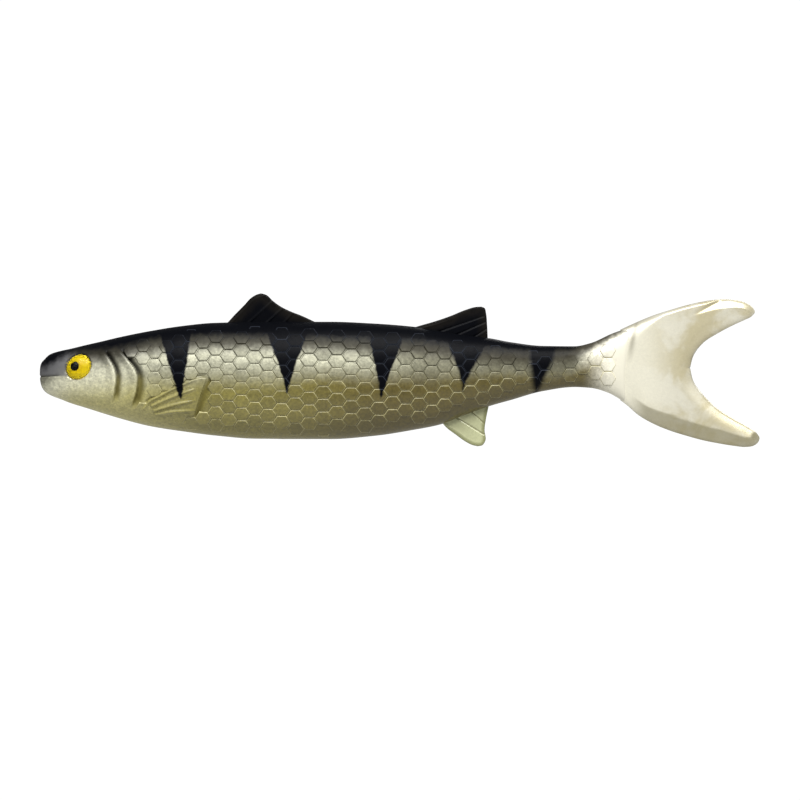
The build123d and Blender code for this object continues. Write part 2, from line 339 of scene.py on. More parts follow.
def move_corners(obj, places):
    """Put the mesh's vertices at these places, in millimetres."""
    obj.data.vertices.foreach_set("co", (np.asarray(places) * MM).ravel())
    obj.data.update()


def normals_of(obj):
    """The direction that each vertex faces."""
    out = np.zeros(len(obj.data.vertices) * 3)
    obj.data.vertex_normals.foreach_get("vector", out)
    return out.reshape(-1, 3)


def turn_outwards(obj):
    """Turn every face outwards, so that the mesh's volume is positive."""
    edit(obj)
    bpy.ops.mesh.normals_make_consistent(inside=False)
    leave()
    obj.data.calc_loop_triangles()
    ends = np.zeros(len(obj.data.loop_triangles) * 3, int)
    obj.data.loop_triangles.foreach_get("vertices", ends)
    a, b, c = corners(obj)[ends.reshape(-1, 3).T]
    if np.sum(a * np.cross(b, c)) < 0:
        edit(obj)
        bpy.ops.mesh.flip_normals()
        leave()


def tidy_mesh(obj, gap):
    """Weld what lies within this many millimetres, and turn every face outwards."""
    edit(obj)
    bpy.ops.mesh.remove_doubles(threshold=gap * MM)
    bpy.ops.mesh.dissolve_degenerate(threshold=gap * MM * 0.5)
    leave()
    turn_outwards(obj)


def apply_modifier(obj, kind, **settings):
    """Add a modifier with these settings and apply it."""
    take(obj)
    modifier = obj.modifiers.new(kind.title(), kind)
    for key, value in settings.items():
        setattr(modifier, key, value)
    bpy.ops.object.modifier_apply(modifier=modifier.name)


def smooth_shade(obj, angle):
    """Shade smoothly, except over edges sharper than this many degrees."""
    take(obj)
    bpy.ops.object.shade_smooth_by_angle(angle=math.radians(angle))


def keep(obj, name, values):
    """Store a number on each vertex for the paint to read."""
    attribute = obj.data.attributes.new(name, "FLOAT", "POINT")
    attribute.data.foreach_set("value", np.asarray(values, np.float32))


def keep_rest(obj):
    """Store each vertex's place in millimetres, so that the paint follows a bent skin."""
    attribute = obj.data.attributes.new("rest_mm", "FLOAT_VECTOR", "POINT")
    attribute.data.foreach_set("vector", corners(obj).ravel().astype(np.float32))


def grid(name, columns, rows, place):
    """A grid of quads whose vertices are placed by place(u, v), with u and v from 0 to 1."""
    obj = start(bpy.ops.mesh.primitive_grid_add, name,
                x_subdivisions=columns, y_subdivisions=rows, size=2)
    flat = corners(obj) * MM
    u, v = (flat[:, 0] + 1) / 2, (flat[:, 1] + 1) / 2
    move_corners(obj, np.stack(place(u, v), axis=1))
    return obj


def finish_piece(obj, material, slot, replaced=(), body=None, bend=None):
    """Give a piece its material, hide the CAD parts it replaces, and hang it on its body's empty; a piece that
    bends between two bodies only has its place baked into its mesh. The slot is not used.
    """
    obj.data.materials.clear()
    obj.data.materials.append(material)
    if replaced:
        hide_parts(*replaced)
    if bend:
        first, second, begin, end = bend
        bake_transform(obj)
    else:
        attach(obj, body)
    return obj


def bend_over(first, second, joint, reach):
    """The two bodies that a soft piece bends between, and the X where its bend starts and ends."""
    middle = JOINTS[joint]["pos_m"][0] / MM
    return first, second, middle - reach, middle + reach


# Each stretch of the body: the CAD node it stands for, its first and last X, and its bend
REAR_FROM, STEM_FROM = 115.0, 141.0
STRETCHES = {
    "front": ("front_body", NOSE_X, REAR_FROM, bend_over("head", "rear", "body_bend", 16)),
    "rear": ("rear_body", REAR_FROM, STEM_FROM, bend_over("rear", "stem", "stem_bend", 9)),
    "stem": ("tail_stem", STEM_FROM, TAIL_SEAM_X, bend_over("stem", "tail", "tail_bend", 11)),
}


# ---------------------------------------------------------------- materials


SMOOTH = {"interpolation_type": "SMOOTHSTEP"}  # a Map Range that eases in and out
COLOUR = {"data_type": "RGBA"}  # a Mix of two colours: inputs 0, 6 and 7, and output 2
SHADE = {"data_type": "RGBA", "blend_type": "MULTIPLY"}  # a Mix that multiplies a colour by a shade


def new_material(name, constants):
    """A Principled material with constants on its shader's own sockets. It comes with a function
    that adds a node and one that links an output to the shader."""
    material = bpy.data.materials.new(name)
    material.use_nodes = True
    tree = material.node_tree
    shader = tree.nodes["Principled BSDF"]
    for socket, value in constants.items():
        shader.inputs[socket].default_value = value

    def add(kind, inputs=(), out=0, **settings):
        """Add a node with its settings, fill or link its inputs, and give back one output."""
        node = tree.nodes.new("ShaderNode" + kind)
        for key, value in settings.items():
            setattr(node, key, value)
        named = inputs if isinstance(inputs, dict) else dict(enumerate(inputs))
        for key, value in named.items():
            if isinstance(value, bpy.types.NodeSocket):
                tree.links.new(value, node.inputs[key])
            else:
                node.inputs[key].default_value = value
        return node.outputs[out]

    def link(output, socket):
        tree.links.new(output, shader.inputs[socket])

    return material, add, link


def rgba(colour):
    """The four numbers of a colour socket, from a hex value or a colour property."""
    return (*(linear(colour) if isinstance(colour, str) else colour), 1.0)


def shape_curve(mapping, points, highest):
    """Give a curve that runs from 0 to 1 the shape of (x, height) points."""
    first, last = points[0][0], points[-1][0]
    curve = mapping.curves[0]
    curve.points[0].location = (0.0, points[0][1] / highest)
    for x, height in points[1:-1]:
        curve.points.new((x - first) / (last - first), height / highest)
    curve.points[-1].location = (1.0, points[-1][1] / highest)
    mapping.update()


# Where the black of the back turns to pearl: X and height
PAINT_LINE = [
    (-1, 1.6), (2, 2.4), (5, 4.2), (10, 5.9), (16, 6.4), (21, 7.0), (28, 8.0), (45, 9.2), (58, 9.2),
    (75, 8.8), (90, 8.2), (101, 7.8), (111, 6.9), (125, 5.4), (133, 5.0), (145, 5.3), (149, 7.0),
    (153, 8.9), (157, 11.0), (161, 13.2), (166, 17),
]
PAINT_LINE_TOP = 20.0

# Where the pearl, and the clear cast below it, change from one X to another, and to which colour
# Towards the stem's end the pearl turns to a white that is partly the tail's pearl and partly a painted highlight
PEARL_CHANGES = [(34.0, 16.0, "head_pearl"), (85.0, 108.0, "rear_pearl"), (146.0, 155.0, "stem_pearl_and_highlight")]
CAST_CHANGES = [(50.0, 14.0, "throat"), (48.0, 100.0, "rear_belly"), (149.0, 158.0, "tail")]

# Bars down the flank: X at the top, X at the tip, height of the tip, half width at the top,
# how fast it narrows and how soft its edges are
BAR_TOP = 7.0
BARS = [
    (37.3, 38.6, -7.6, 3.5, 0.95, 0.3),
    (67.9, 67.8, -5.8, 4.1, 1.2, 0.3),
    (95.0, 93.7, -7.2, 3.9, 1.1, 0.3),
    (117.6, 116.3, -5.4, 5.0, 1.4, 0.5),
    (138.6, 136.4, -6.8, 4.2, 0.9, 1.1),
]


def painted_pvc():
    """Plastisol PVC, cast in a mould and sprayed: a clear olive cast below, pearl on the flank and
    black on the back. The eye sees a satin, slightly waxy skin with fine mica and soft spray edges."""
    c = colours()
    material, add, link = new_material("painted_soft_pvc", {"IOR": 1.5, "Coat Roughness": 0.22})
    place = add("Attribute", out="Vector", attribute_name="rest_mm")
    x = add("SeparateXYZ", (place,), "X")
    z = add("SeparateXYZ", (place,), "Z")

    # Spray mist about 1.5 mm across breaks up every paint edge
    mist = add("TexNoise", {"Vector": place, "Scale": 0.65, "Detail": 5.0, "Roughness": 0.62})
    wander = add("Math", (mist, 2.4, -1.2), operation="MULTIPLY_ADD")

    # Height above the line where the back's black ends
    along = add("MapRange", (x, PAINT_LINE[0][0], PAINT_LINE[-1][0]))
    line = add("FloatCurve", {"Value": along})
    shape_curve(line.node.mapping, PAINT_LINE, PAINT_LINE_TOP)
    line = add("Math", (line, PAINT_LINE_TOP), operation="MULTIPLY")
    above = add("Math", (z, line), operation="SUBTRACT")
    above = add("Math", (above, wander), operation="ADD")

    # Pearl and cast each change colour along the body
    layers = []
    for base, changes in ((c.flank_pearl, PEARL_CHANGES), (c.belly, CAST_CHANGES)):
        layer = rgba(base)
        for begin, end, other in changes:
            share = add("MapRange", (x, begin, end), **SMOOTH)
            layer = add("Mix", {0: share, 6: layer, 7: rgba(getattr(c, other))}, 2, **COLOUR)
        layers.append(layer)
    pearl, cast = layers

    # Pearl pigment thins out downwards, sooner towards the tail
    slimmer = add("MapRange", (x, 62.0, 80.0, 1.0, 1.22), **SMOOTH)
    slimmer_rear = add("MapRange", (x, 104.0, 132.0, 0.0, 0.78), **SMOOTH)
    slimmer = add("Math", (slimmer, slimmer_rear), operation="ADD")
    pearl_share = add("Math", (above, slimmer), operation="MULTIPLY")
    pearl_share = add("MapRange", (pearl_share, -15.0, -6.0), **SMOOTH)
    body = add("Mix", {0: pearl_share, 6: cast, 7: pearl}, 2, **COLOUR)

    # Each scale's rim gets a painted shadow on the pearl and a pale painted highlight on the clear cast
    rim = add("Attribute", out="Fac", attribute_name="rim")
    rim_shadow_and_highlight = add("Mix", {0: pearl_share, 6: rgba("#cdc698"), 7: rgba("#36321f")}, 2, **COLOUR)
    rim_light_share = add("Math", (rim, 0.62), operation="MULTIPLY")
    body = add("Mix", {0: rim_light_share, 6: body, 7: rim_shadow_and_highlight}, 2, **COLOUR)

    # Each scale is a little lighter or darker at random
    tone = add("Attribute", out="Fac", attribute_name="tone")
    tone = add("Math", (tone, 0.13, 1.0), operation="MULTIPLY_ADD")
    body = add("Mix", {0: 1.0, 6: body, 7: tone}, 2, **SHADE)

    # Pigment mottles the skin in patches of about 1 mm, and mica flakes of about 0.3 mm glint in
    # it, drawn a little coarser than real; both end where the plain tail starts
    mottle = add("TexNoise", {"Vector": place, "Scale": 1.1, "Detail": 7.0, "Roughness": 0.75})
    mottling = add("MapRange", (mottle, 0.36, 0.64, 0.76, 1.2))
    flakes = add("TexVoronoi", {"Vector": place, "Scale": 2.6}, "Color")
    flake = add("SeparateColor", (flakes,))
    glint = add("MapRange", (flake, 0.0, 1.0, 0.88, 1.12))
    grain = add("Math", (mottling, glint), operation="MULTIPLY")
    before_tail = add("MapRange", (x, 161.0, 152.0), **SMOOTH)
    body = add("Mix", {0: before_tail, 6: body, 7: grain}, 2, **SHADE)

    # A thin grey spray on the head, and a thin brownish edge to the back's black
    head = add("MapRange", (x, 32.0, 22.0, 0.0, 0.85), **SMOOTH)
    spray = add("MapRange", (above, -8.5, -0.5), **SMOOTH)
    spray = add("Math", (spray, head), operation="MULTIPLY")
    body = add("Mix", {0: spray, 6: body, 7: rgba("#4c4c4a")}, 2, **COLOUR)
    thinner = add("MapRange", (x, 146.0, 155.0, 1.0, 1.5), **SMOOTH)
    haze = add("Math", (above, thinner), operation="MULTIPLY")
    haze = add("MapRange", (haze, -5.8, -0.4, 0.0, 0.95), **SMOOTH)
    body = add("Mix", {0: haze, 6: body, 7: rgba(c.dusk)}, 2, **COLOUR)

    # Grey snout above the mouth, and gill grooves that hold little pearl below, with a painted shadow that darkens
    # them towards the top
    snout = add("MapRange", (x, 12.0, 5.5), **SMOOTH)
    snout = add("Math", (snout, add("MapRange", (z, -1.1, -0.4), **SMOOTH)), operation="MULTIPLY")
    snout_share = add("Math", (snout, 0.85), operation="MULTIPLY")
    body = add("Mix", {0: snout_share, 6: body, 7: rgba("#656567")}, 2, **COLOUR)
    groove = add("Attribute", out="Fac", attribute_name="groove")
    groove_top = add("MapRange", (z, -2.5, 1.0), **SMOOTH)
    groove_olive_and_shadow = add("Mix", {0: groove_top, 6: rgba("#665f31"), 7: rgba("#12110e")}, 2, **COLOUR)
    groove_share = add("Math", (groove, 0.9), operation="MULTIPLY")
    body = add("Mix", {0: groove_share, 6: body, 7: groove_olive_and_shadow}, 2, **COLOUR)

    # The back's black, and bars that are each a wedge narrowing to its tip
    black = add("Math", (head, 1.1, above), operation="MULTIPLY_ADD")
    black = add("MapRange", (black, -1.2, 2.4), **SMOOTH)
    edge = add("Math", (mist, 1.4, -0.7), operation="MULTIPLY_ADD")
    for top_x, tip_x, tip_z, half, power, soft in BARS:
        height = add("Math", (z, tip_z), operation="SUBTRACT")
        height = add("Math", (height, BAR_TOP - tip_z), operation="DIVIDE")
        height = add("Math", (height, 0.0), operation="MAXIMUM")
        middle = add("Math", (height, top_x - tip_x, tip_x), operation="MULTIPLY_ADD")
        reach = add("Math", (height, power), operation="POWER")
        reach = add("Math", (reach, half), operation="MULTIPLY")
        outside = add("Math", (x, middle), operation="SUBTRACT")
        outside = add("Math", (outside,), operation="ABSOLUTE")
        outside = add("Math", (outside, reach), operation="SUBTRACT")
        outside = add("Math", (outside, edge), operation="ADD")
        bar = add("MapRange", (outside, soft, -soft), **SMOOTH)
        tip = add("MapRange", (height, 0.0, 0.03), **SMOOTH)
        bar = add("Math", (bar, tip), operation="MULTIPLY")
        black = add("Math", (black, bar), operation="MAXIMUM")
    # On the black, each scale's rim is lightened as a painted highlight
    black_rim_highlight = add("Math", (rim, 0.6), operation="MULTIPLY")
    lacquer = add("Mix", {0: black_rim_highlight, 6: rgba(c.black), 7: rgba("#454a55")}, 2, **COLOUR)
    body = add("Mix", {0: black, 6: body, 7: lacquer}, 2, **COLOUR)

    # A few trapped bubbles, 0.3 to 0.5 mm across and some 7 mm apart
    bubble = add("TexVoronoi", {"Vector": place, "Scale": 0.14, "Randomness": 1.0}, "Distance")
    bubble = add("MapRange", (bubble, 0.035, 0.02, 0.0, 0.8), **SMOOTH)
    body = add("Mix", {0: bubble, 6: body, 7: rgba("#2b2a20")}, 2, **COLOUR)
    link(body, "Base Color")

    # The bare pearl is metallic and shiny, and whatever is sprayed or sunk is duller
    dull = add("Math", (snout, 0.8), operation="MULTIPLY")
    for cover in (haze, spray, black, groove):
        dull = add("Math", (dull, cover), operation="MAXIMUM")
    bare = add("Math", (1.0, dull), operation="SUBTRACT")
    bright = add("Math", (pearl_share, bare), operation="MULTIPLY")
    link(add("MapRange", (bright, 0.0, 1.0, 0.0, 0.38)), "Metallic")
    link(add("MapRange", (dull, 0.0, 1.0, 0.5, 0.045)), "Specular IOR Level")
    link(add("MapRange", (dull, 0.0, 1.0, 0.22, 0.0)), "Coat Weight")
    link(add("MapRange", (mottle, 0.3, 0.7, 0.34, 0.46)), "Roughness")
    skin = add("TexNoise", {"Vector": place, "Scale": 2.2, "Detail": 4.0})
    link(add("Bump", {"Strength": 0.18, "Distance": 0.00012, "Height": skin}), "Normal")
    return material


def pearl_pvc():
    """Plastisol PVC with white pearl pigment, cast in one colour: satin and creamy, whitest at its root as a
    painted highlight, with drifts of mica that the flow left and an olive tint, partly painted shade, on the thin
    lower bevel."""
    c = colours()
    material, add, link = new_material("pearl_soft_pvc", {
        "IOR": 1.52, "Metallic": 0.28, "Coat Weight": 0.4, "Coat Roughness": 0.18})
    place = add("Attribute", out="Vector", attribute_name="rest_mm")
    x = add("SeparateXYZ", (place,), "X")
    drift = add("TexNoise", {
        "Vector": place, "Scale": 0.095, "Detail": 4.0, "Roughness": 0.55, "Distortion": 0.4})
    share = add("MapRange", (drift, 0.4, 0.62), **SMOOTH)
    # The root is whitest, partly the tail's own pearl and partly a painted highlight
    root = add("MapRange", (x, 178.0, 164.0), **SMOOTH)
    share = add("Math", (share, add("Math", (root, 0.7), operation="MULTIPLY")), operation="MAXIMUM")
    body = add("Mix", {0: share, 6: rgba(c.tail_cream), 7: rgba(c.tail)}, 2, **COLOUR)
    root_highlight = add("Math", (root, 0.8), operation="MULTIPLY")
    body = add("Mix", {0: root_highlight, 6: body, 7: rgba(c.stem_pearl_and_highlight)}, 2, **COLOUR)

    # A little of the back's mist lies along the top edge, a painted shadow lies in the crease of the seam, and the
    # lower bevel takes an olive tint, partly the thin cast and partly painted shade of a face turned down
    for name, strength, colour in (("shade", 0.75, "#57503c"), ("bevel_shade", 0.6, "#857d58")):
        share = add("Attribute", out="Fac", attribute_name=name)
        share = add("Math", (share, strength), operation="MULTIPLY")
        body = add("Mix", {0: share, 6: body, 7: rgba(colour)}, 2, **COLOUR)

    # Fine pigment mottles it, and a few dark specks some 8 mm apart lie in it
    mottle = add("TexNoise", {"Vector": place, "Scale": 1.5, "Detail": 6.0, "Roughness": 0.75})
    body = add("Mix", {0: 1.0, 6: body, 7: add("MapRange", (mottle, 0.3, 0.7, 0.93, 1.05))}, 2, **SHADE)
    speck = add("TexVoronoi", {"Vector": place, "Scale": 0.12}, "Distance")
    speck = add("MapRange", (speck, 0.03, 0.018, 0.0, 0.7), **SMOOTH)
    body = add("Mix", {0: speck, 6: body, 7: rgba("#3c3a2c")}, 2, **COLOUR)
    link(body, "Base Color")
    link(add("MapRange", (drift, 0.0, 1.0, 0.26, 0.4)), "Roughness")
    skin = add("TexNoise", {"Vector": place, "Scale": 1.2, "Detail": 4.0})
    link(add("Bump", {"Strength": 0.12, "Distance": 0.00012, "Height": skin}), "Normal")
    return material


def pale_pvc():
    """The same PVC with little pigment: a pale green-cream web with darker rims, and a painted shadow in its
    pressed rays.
    """
    c = colours()
    material, add, link = new_material("pale_clear_pvc", {
        "IOR": 1.52, "Metallic": 0.12, "Coat Weight": 0.4, "Coat Roughness": 0.2})
    place = add("Attribute", out="Vector", attribute_name="rest_mm")
    edge = add("Attribute", out="Fac", attribute_name="edge_mm")
    edge = add("MapRange", (edge, 1.3, 0.4), **SMOOTH)
    web = add("Mix", {0: edge, 6: rgba(c.anal_fin), 7: rgba("#8f9166")}, 2, **COLOUR)
    # The pressed rays are darkened as a painted shadow
    ray = add("Attribute", out="Fac", attribute_name="ray")
    ray = add("Math", (ray, 0.75), operation="MULTIPLY")
    web = add("Mix", {0: ray, 6: web, 7: rgba("#6f6c3c")}, 2, **COLOUR)
    mottle = add("TexNoise", {"Vector": place, "Scale": 1.6, "Detail": 6.0, "Roughness": 0.7})
    web = add("Mix", {0: 1.0, 6: web, 7: add("MapRange", (mottle, 0.3, 0.7, 0.88, 1.08))}, 2, **SHADE)
    link(web, "Base Color")
    link(add("MapRange", (mottle, 0.0, 1.0, 0.3, 0.42)), "Roughness")
    return material


def black_pvc():
    """The casting sprayed with black lacquer: deep black, a little brown where the lacquer lies
    thin near the edges."""
    material, add, link = new_material("black_lacquered_pvc", {"Specular IOR Level": 0.05})
    place = add("Attribute", out="Vector", attribute_name="rest_mm")
    edge = add("Attribute", out="Fac", attribute_name="edge_mm")
    mist = add("TexNoise", {"Vector": place, "Scale": 0.5, "Detail": 4.0})
    thin = add("MapRange", (edge, 3.5, 0.5), **SMOOTH)
    thin = add("Math", (thin, mist), operation="MULTIPLY")
    body = add("Mix", {0: thin, 6: rgba(colours().black), 7: rgba("#1f1c17")}, 2, **COLOUR)
    link(body, "Base Color")
    link(add("MapRange", (mist, 0.0, 1.0, 0.28, 0.42)), "Roughness")
    skin = add("TexNoise", {"Vector": place, "Scale": 2.2, "Detail": 4.0})
    link(add("Bump", {"Strength": 0.15, "Distance": 0.0001, "Height": skin}), "Normal")
    return material


def iris_lacquer():
    """Moulded bead with yellow lacquer: a smooth satin yellow, deeper round the pupil, with a
    pale ring near the rim."""
    material, add, link = new_material("yellow_bead_lacquer", {"Specular IOR Level": 0.15})
    ring = add("Attribute", out="Fac", attribute_name="ring")
    deep = add("MapRange", (ring, 0.25, 0.6), **SMOOTH)
    body = add("Mix", {0: deep, 6: rgba("#caaa0a"), 7: rgba(colours().iris)}, 2, **COLOUR)
    pale = add("MapRange", (ring, 0.86, 0.93), **SMOOTH)
    body = add("Mix", {0: pale, 6: body, 7: rgba("#dac22c")}, 2, **COLOUR)
    place = add("TexCoord", out="Object")
    mist = add("TexNoise", {"Vector": place, "Scale": 900.0, "Detail": 4.0})
    body = add("Mix", {0: 1.0, 6: body, 7: add("MapRange", (mist, 0.0, 1.0, 0.98, 1.02))}, 2, **SHADE)
    link(body, "Base Color")
    link(add("MapRange", (mist, 0.0, 1.0, 0.34, 0.4)), "Roughness")
    return material


def plain_material(name, colour, roughness, scale, depth, constants):
    """A material of one colour with the fine grain of how it was made: scale in grains per metre,
    depth in metres."""
    material, add, link = new_material(name, constants)
    place = add("TexCoord", out="Object")
    grain = add("TexNoise", {"Vector": place, "Scale": scale, "Detail": 4.0})
    shade = add("MapRange", (grain, 0.0, 1.0, 0.88, 1.08))
    link(add("Mix", {0: 1.0, 6: rgba(colour), 7: shade}, 2, **SHADE), "Base Color")
    link(add("MapRange", (grain, 0.0, 1.0, roughness * 0.8, roughness * 1.2)), "Roughness")
    link(add("Bump", {"Strength": 0.2, "Distance": depth, "Height": grain}), "Normal")
    return material


def pupil_lacquer():
    """Black lacquer on a small bead: satin black that shows a soft grey reflection."""
    return plain_material("black_bead_lacquer", "#0a0a09", 0.4, 1500.0, 0.000002, {"IOR": 1.25})


def clear_resin():
    """Poured clear epoxy: colourless, with the soft gloss of a surface that levelled itself. Its
    IOR is set low, so that the bead under it doesn't swell in the eye."""
    material, add, link = new_material("clear_epoxy", {
        "IOR": 1.12, "Transmission Weight": 1.0, "Base Color": (0.98, 0.98, 0.96, 1.0)})
    place = add("TexCoord", out="Object")
    waves = add("TexNoise", {"Vector": place, "Scale": 500.0, "Detail": 2.0})
    link(add("MapRange", (waves, 0.0, 1.0, 0.06, 0.12)), "Roughness")
    return material


def tube_plastic():
    """Extruded PTFE: milky white, waxy and dull."""
    return plain_material("extruded_ptfe", "#dcdcd4", 0.5, 600.0, 0.00002, {"IOR": 1.38})


def turned_brass():
    """Brass turned on a lathe: yellow metal with fine tool marks."""
    return plain_material("turned_brass", "#c9a04e", 0.32, 2500.0, 0.00003, {"Metallic": 1.0})


def woven_nylon():
    """Nylon yarn woven 1 mm apart: a pale net with soft sheen."""
    material, add, link = new_material("woven_nylon", {"Roughness": 0.7, "Sheen Weight": 0.3})
    place = add("TexCoord", out="Object")
    ripples = []
    for axis in "XZ":
        turn = add("Math", (add("SeparateXYZ", (place,), axis), 2000 * math.pi), operation="MULTIPLY")
        ripples.append(add("Math", (turn,), operation="SINE"))
    yarn = add("Math", tuple(ripples), operation="MULTIPLY")
    height = add("MapRange", (yarn, -1.0, 1.0))
    link(add("Mix", {0: height, 6: rgba("#8d8d84"), 7: rgba("#d8d8cf")}, 2, **COLOUR), "Base Color")
    link(add("Bump", {"Strength": 0.6, "Distance": 0.0002, "Height": height}), "Normal")
    return material


def paper_white():
    """Matt white board under the lure, with the faint tooth of paper."""
    return plain_material("matt_board", "#cdcdcb", 0.9, 1500.0, 0.00001, {"IOR": 1.4})


MATERIALS = {}


def material(make):
    """Each material is made once."""
    if make.__name__ not in MATERIALS:
        MATERIALS[make.__name__] = make()
    return MATERIALS[make.__name__]


# ---------------------------------------------------------------- the cast skin


# Gill grooves: (height, X) points down each edge, and the groove's width at its top and bottom
FRONT_GILL = [
    (-8.6, 19.0), (-6.8, 20.0), (-4.0, 20.5), (-1.2, 20.8), (1.5, 20.3), (3.8, 19.1), (6.6, 17.2),
]
REAR_GILL = [
    (-10.2, 24.4), (-7.4, 25.6), (-4.0, 26.5), (-1.2, 26.7), (1.0, 26.1), (3.8, 24.1), (6.9, 21.6),
]
GILLS = [(FRONT_GILL, 1.2, 1.5), (REAR_GILL, 1.4, 2.6)]

# The eye's centre, how far its long way is turned up from X, and its long and short radius
EYE_LOW, EYE_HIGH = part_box("left_eye")
EYE_X, EYE_Z = ((EYE_LOW[i] + EYE_HIGH[i]) / 2 / MM for i in (0, 2))
EYE_TILT = math.radians(45)
EYE_LONG, EYE_SHORT = 3.7, 3.25
IRIS_HEIGHT = 2.0
PUPIL_RADIUS = 1.38
EYE_SINK = 1.4  # how far the bead's centre lies under the skin


def eye_ring(x, z, grow=0.0):
    """1 on the eye's outline seen from the side, less inside it and more outside."""
    a = (x - EYE_X) * math.cos(EYE_TILT) + (z - EYE_Z) * math.sin(EYE_TILT)
    b = (z - EYE_Z) * math.cos(EYE_TILT) - (x - EYE_X) * math.sin(EYE_TILT)
    return np.hypot(a / (EYE_LONG + grow), b / (EYE_SHORT + grow))


def behind_gill(x, z, gill):
    """How far a place is behind a gill's edge, the groove's width there, and the gill's lowest and
    highest point."""
    points, top_width, bottom_width = gill
    low, high = points[0][0], points[-1][0]
    share = np.clip((z - low) / (high - low), 0, 1)
    return x - smooth(points)(z), bottom_width + (top_width - bottom_width) * share, low, high


def gill_cut(x, z, gill):
    """Depth of one gill groove: the plate swells up to its edge, drops, and ramps back out."""
    behind, wide, low, high = behind_gill(x, z, gill)
    ends = rise(z, low, low + 3.5) * rise(z, high, high - 1.8)
    edge = rise(behind, -0.12, 0.2)
    drop = edge * (1 - rise(behind, 0.2, wide + 0.5))
    swell = 0.5 * np.exp(-((behind + 0.9) / 1.1) ** 2) * (1 - edge)
    return ends * (sizes().gill_depth / MM * drop - swell)


def pectoral_groove(x, z):
    """1 in the groove behind the pectoral fin and over its top edge."""
    behind = spline([(46.9, -1.6), (45.2, -5.1), (43.9, -9.0), (43.1, -11.6)])
    over = spline([(29.2, -7.6), (32.3, -5.3), (37.0, -3.0), (42.1, -1.0), (45.0, -0.5)])
    rear = np.exp(-(distance_to(behind, x, z) / 0.85) ** 2)
    top = 0.7 * np.exp(-(distance_to(over, x, z) / 0.35) ** 2)
    return np.maximum(rear, top)


def head_cuts(x, z):
    """How deep the skin is cut at a place seen from the side, in millimetres."""
    depth = 0.5 * pectoral_groove(x, z)
    for gill in GILLS:
        depth += gill_cut(x, z, gill)
    # The line of the mouth, from the nose to X 5.6
    mouth = -0.85 + 0.05 * np.maximum(x, 0)
    depth += 0.4 * np.exp(-((z - mouth) / 0.22) ** 2) * rise(x, 5.6, 4.0)
    # The eye's socket
    depth += 1.3 * rise(eye_ring(x, z, 0.1), 1.05, 0.93)
    return depth


def groove_share(x, z):
    """How far the pearl is missing and the grooves' painted shadow lies: 1 in the gill grooves and behind the
    pectoral fin.
    """
    share = pectoral_groove(x, z)
    for gill in GILLS:
        behind, wide, low, high = behind_gill(x, z, gill)
        across = rise(behind, -0.35, 0.05) * (1 - rise(behind, 0.45 * wide, wide + 0.45))
        ends = rise(z, low, low + 3.0) * rise(z, high + 1.5, high - 1.0)
        share = np.maximum(share, across * ends)
    return share


def ring_places(first, last):
    """X of each ring of the skin: closest on the nose, then on the head."""
    if first > NOSE_X:
        return np.linspace(first, last, round((last - first) / 0.7))
    nose = NOSE_X + np.linspace(0, math.sqrt(6), 26) ** 2
    head = np.arange(nose[-1] + 0.33, 48, 0.33)
    return np.concatenate([nose, head, np.linspace(48.4, last, 96)])


def skin_tube(stretch, first, last, around=184):
    """One stretch of the skin: a grid rolled into the body's sections and closed at its ends."""
    rings = ring_places(first, last)
    power = 2 / sizes().flank_squareness

    def place(u, v):
        x = np.interp(v * (len(rings) - 1), np.arange(len(rings)), rings)
        middle, half, wide = section(x)
        turn = 2 * math.pi * u - math.pi / 2
        y = -wide * np.sign(np.cos(turn)) * np.abs(np.cos(turn)) ** power
        z = middle + half * np.sign(np.sin(turn)) * np.abs(np.sin(turn)) ** power
        return x, y, z

    obj = grid(f"{stretch}_skin", around, len(rings) - 1, place)
    edit(obj)
    bpy.ops.mesh.remove_doubles(threshold=0.0005 * MM)
    leave()
    edit(obj, "DESELECT")
    bpy.ops.mesh.select_non_manifold(extend=False, use_wire=False, use_multi_face=False,
                                     use_non_contiguous=False, use_verts=False)
    if stretch == "front":
        bpy.ops.mesh.edge_face_add()
    else:
        bpy.ops.mesh.fill_holes(sides=0)
    leave()
    turn_outwards(obj)
    return obj


def carve_head(obj):
    """Press the gill grooves, the mouth and the eye sockets into the skin."""
    places = corners(obj)
    depth = head_cuts(places[:, 0], places[:, 2])
    near_side = rise(np.abs(places[:, 1]), 0.0, 1.2)
    at_nose = rise(places[:, 0], 1.5, -0.5)
    depth = depth * np.maximum(near_side, at_nose)
    # The groove share marks where the paint leaves out pearl and lays a painted shadow
    keep(obj, "groove", groove_share(places[:, 0], places[:, 2]) * near_side)
    move_corners(obj, places - normals_of(obj) * depth[:, None])


def drill_line_hole(obj):
    """Cut the channel that the line tube lies in, out through the nose and the belly."""
    low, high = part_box("line_tube")
    mount = next(m for m in frame["record"]["mounts"] if m["name"] == "line_bore")
    along = Vector(mount["axis"]).to_track_quat("Z", "Y")
    drill = start(bpy.ops.mesh.primitive_cylinder_add, "drill", vertices=40, depth=0.16,
                  radius=(high.y - low.y) / 2 + 0.03 * MM, rotation=along.to_euler())
    apply_modifier(obj, "BOOLEAN", object=drill, operation="DIFFERENCE", solver="EXACT")
    bpy.data.objects.remove(drill)


def seam_bow(z):
    """How far the seam between stem and tail bows towards the tail at a height."""
    return 0.0085 * (z + 3) ** 2


def close_stem(obj):
    """Round off the skin's end against the tail, along the curve of the seam."""
    places = corners(obj)
    x, z = places[:, 0], places[:, 2]
    near = rise(x, TAIL_SEAM_X - 5, TAIL_SEAM_X)
    lip = rise(x, TAIL_SEAM_X - 0.9, TAIL_SEAM_X)
    places[:, 0] = x + near * seam_bow(z)
    middle = section(x)[0]
    places[:, 1] *= 1 - 0.3 * lip
    places[:, 2] = middle + (z - middle) * (1 - 0.07 * lip)
    move_corners(obj, places)


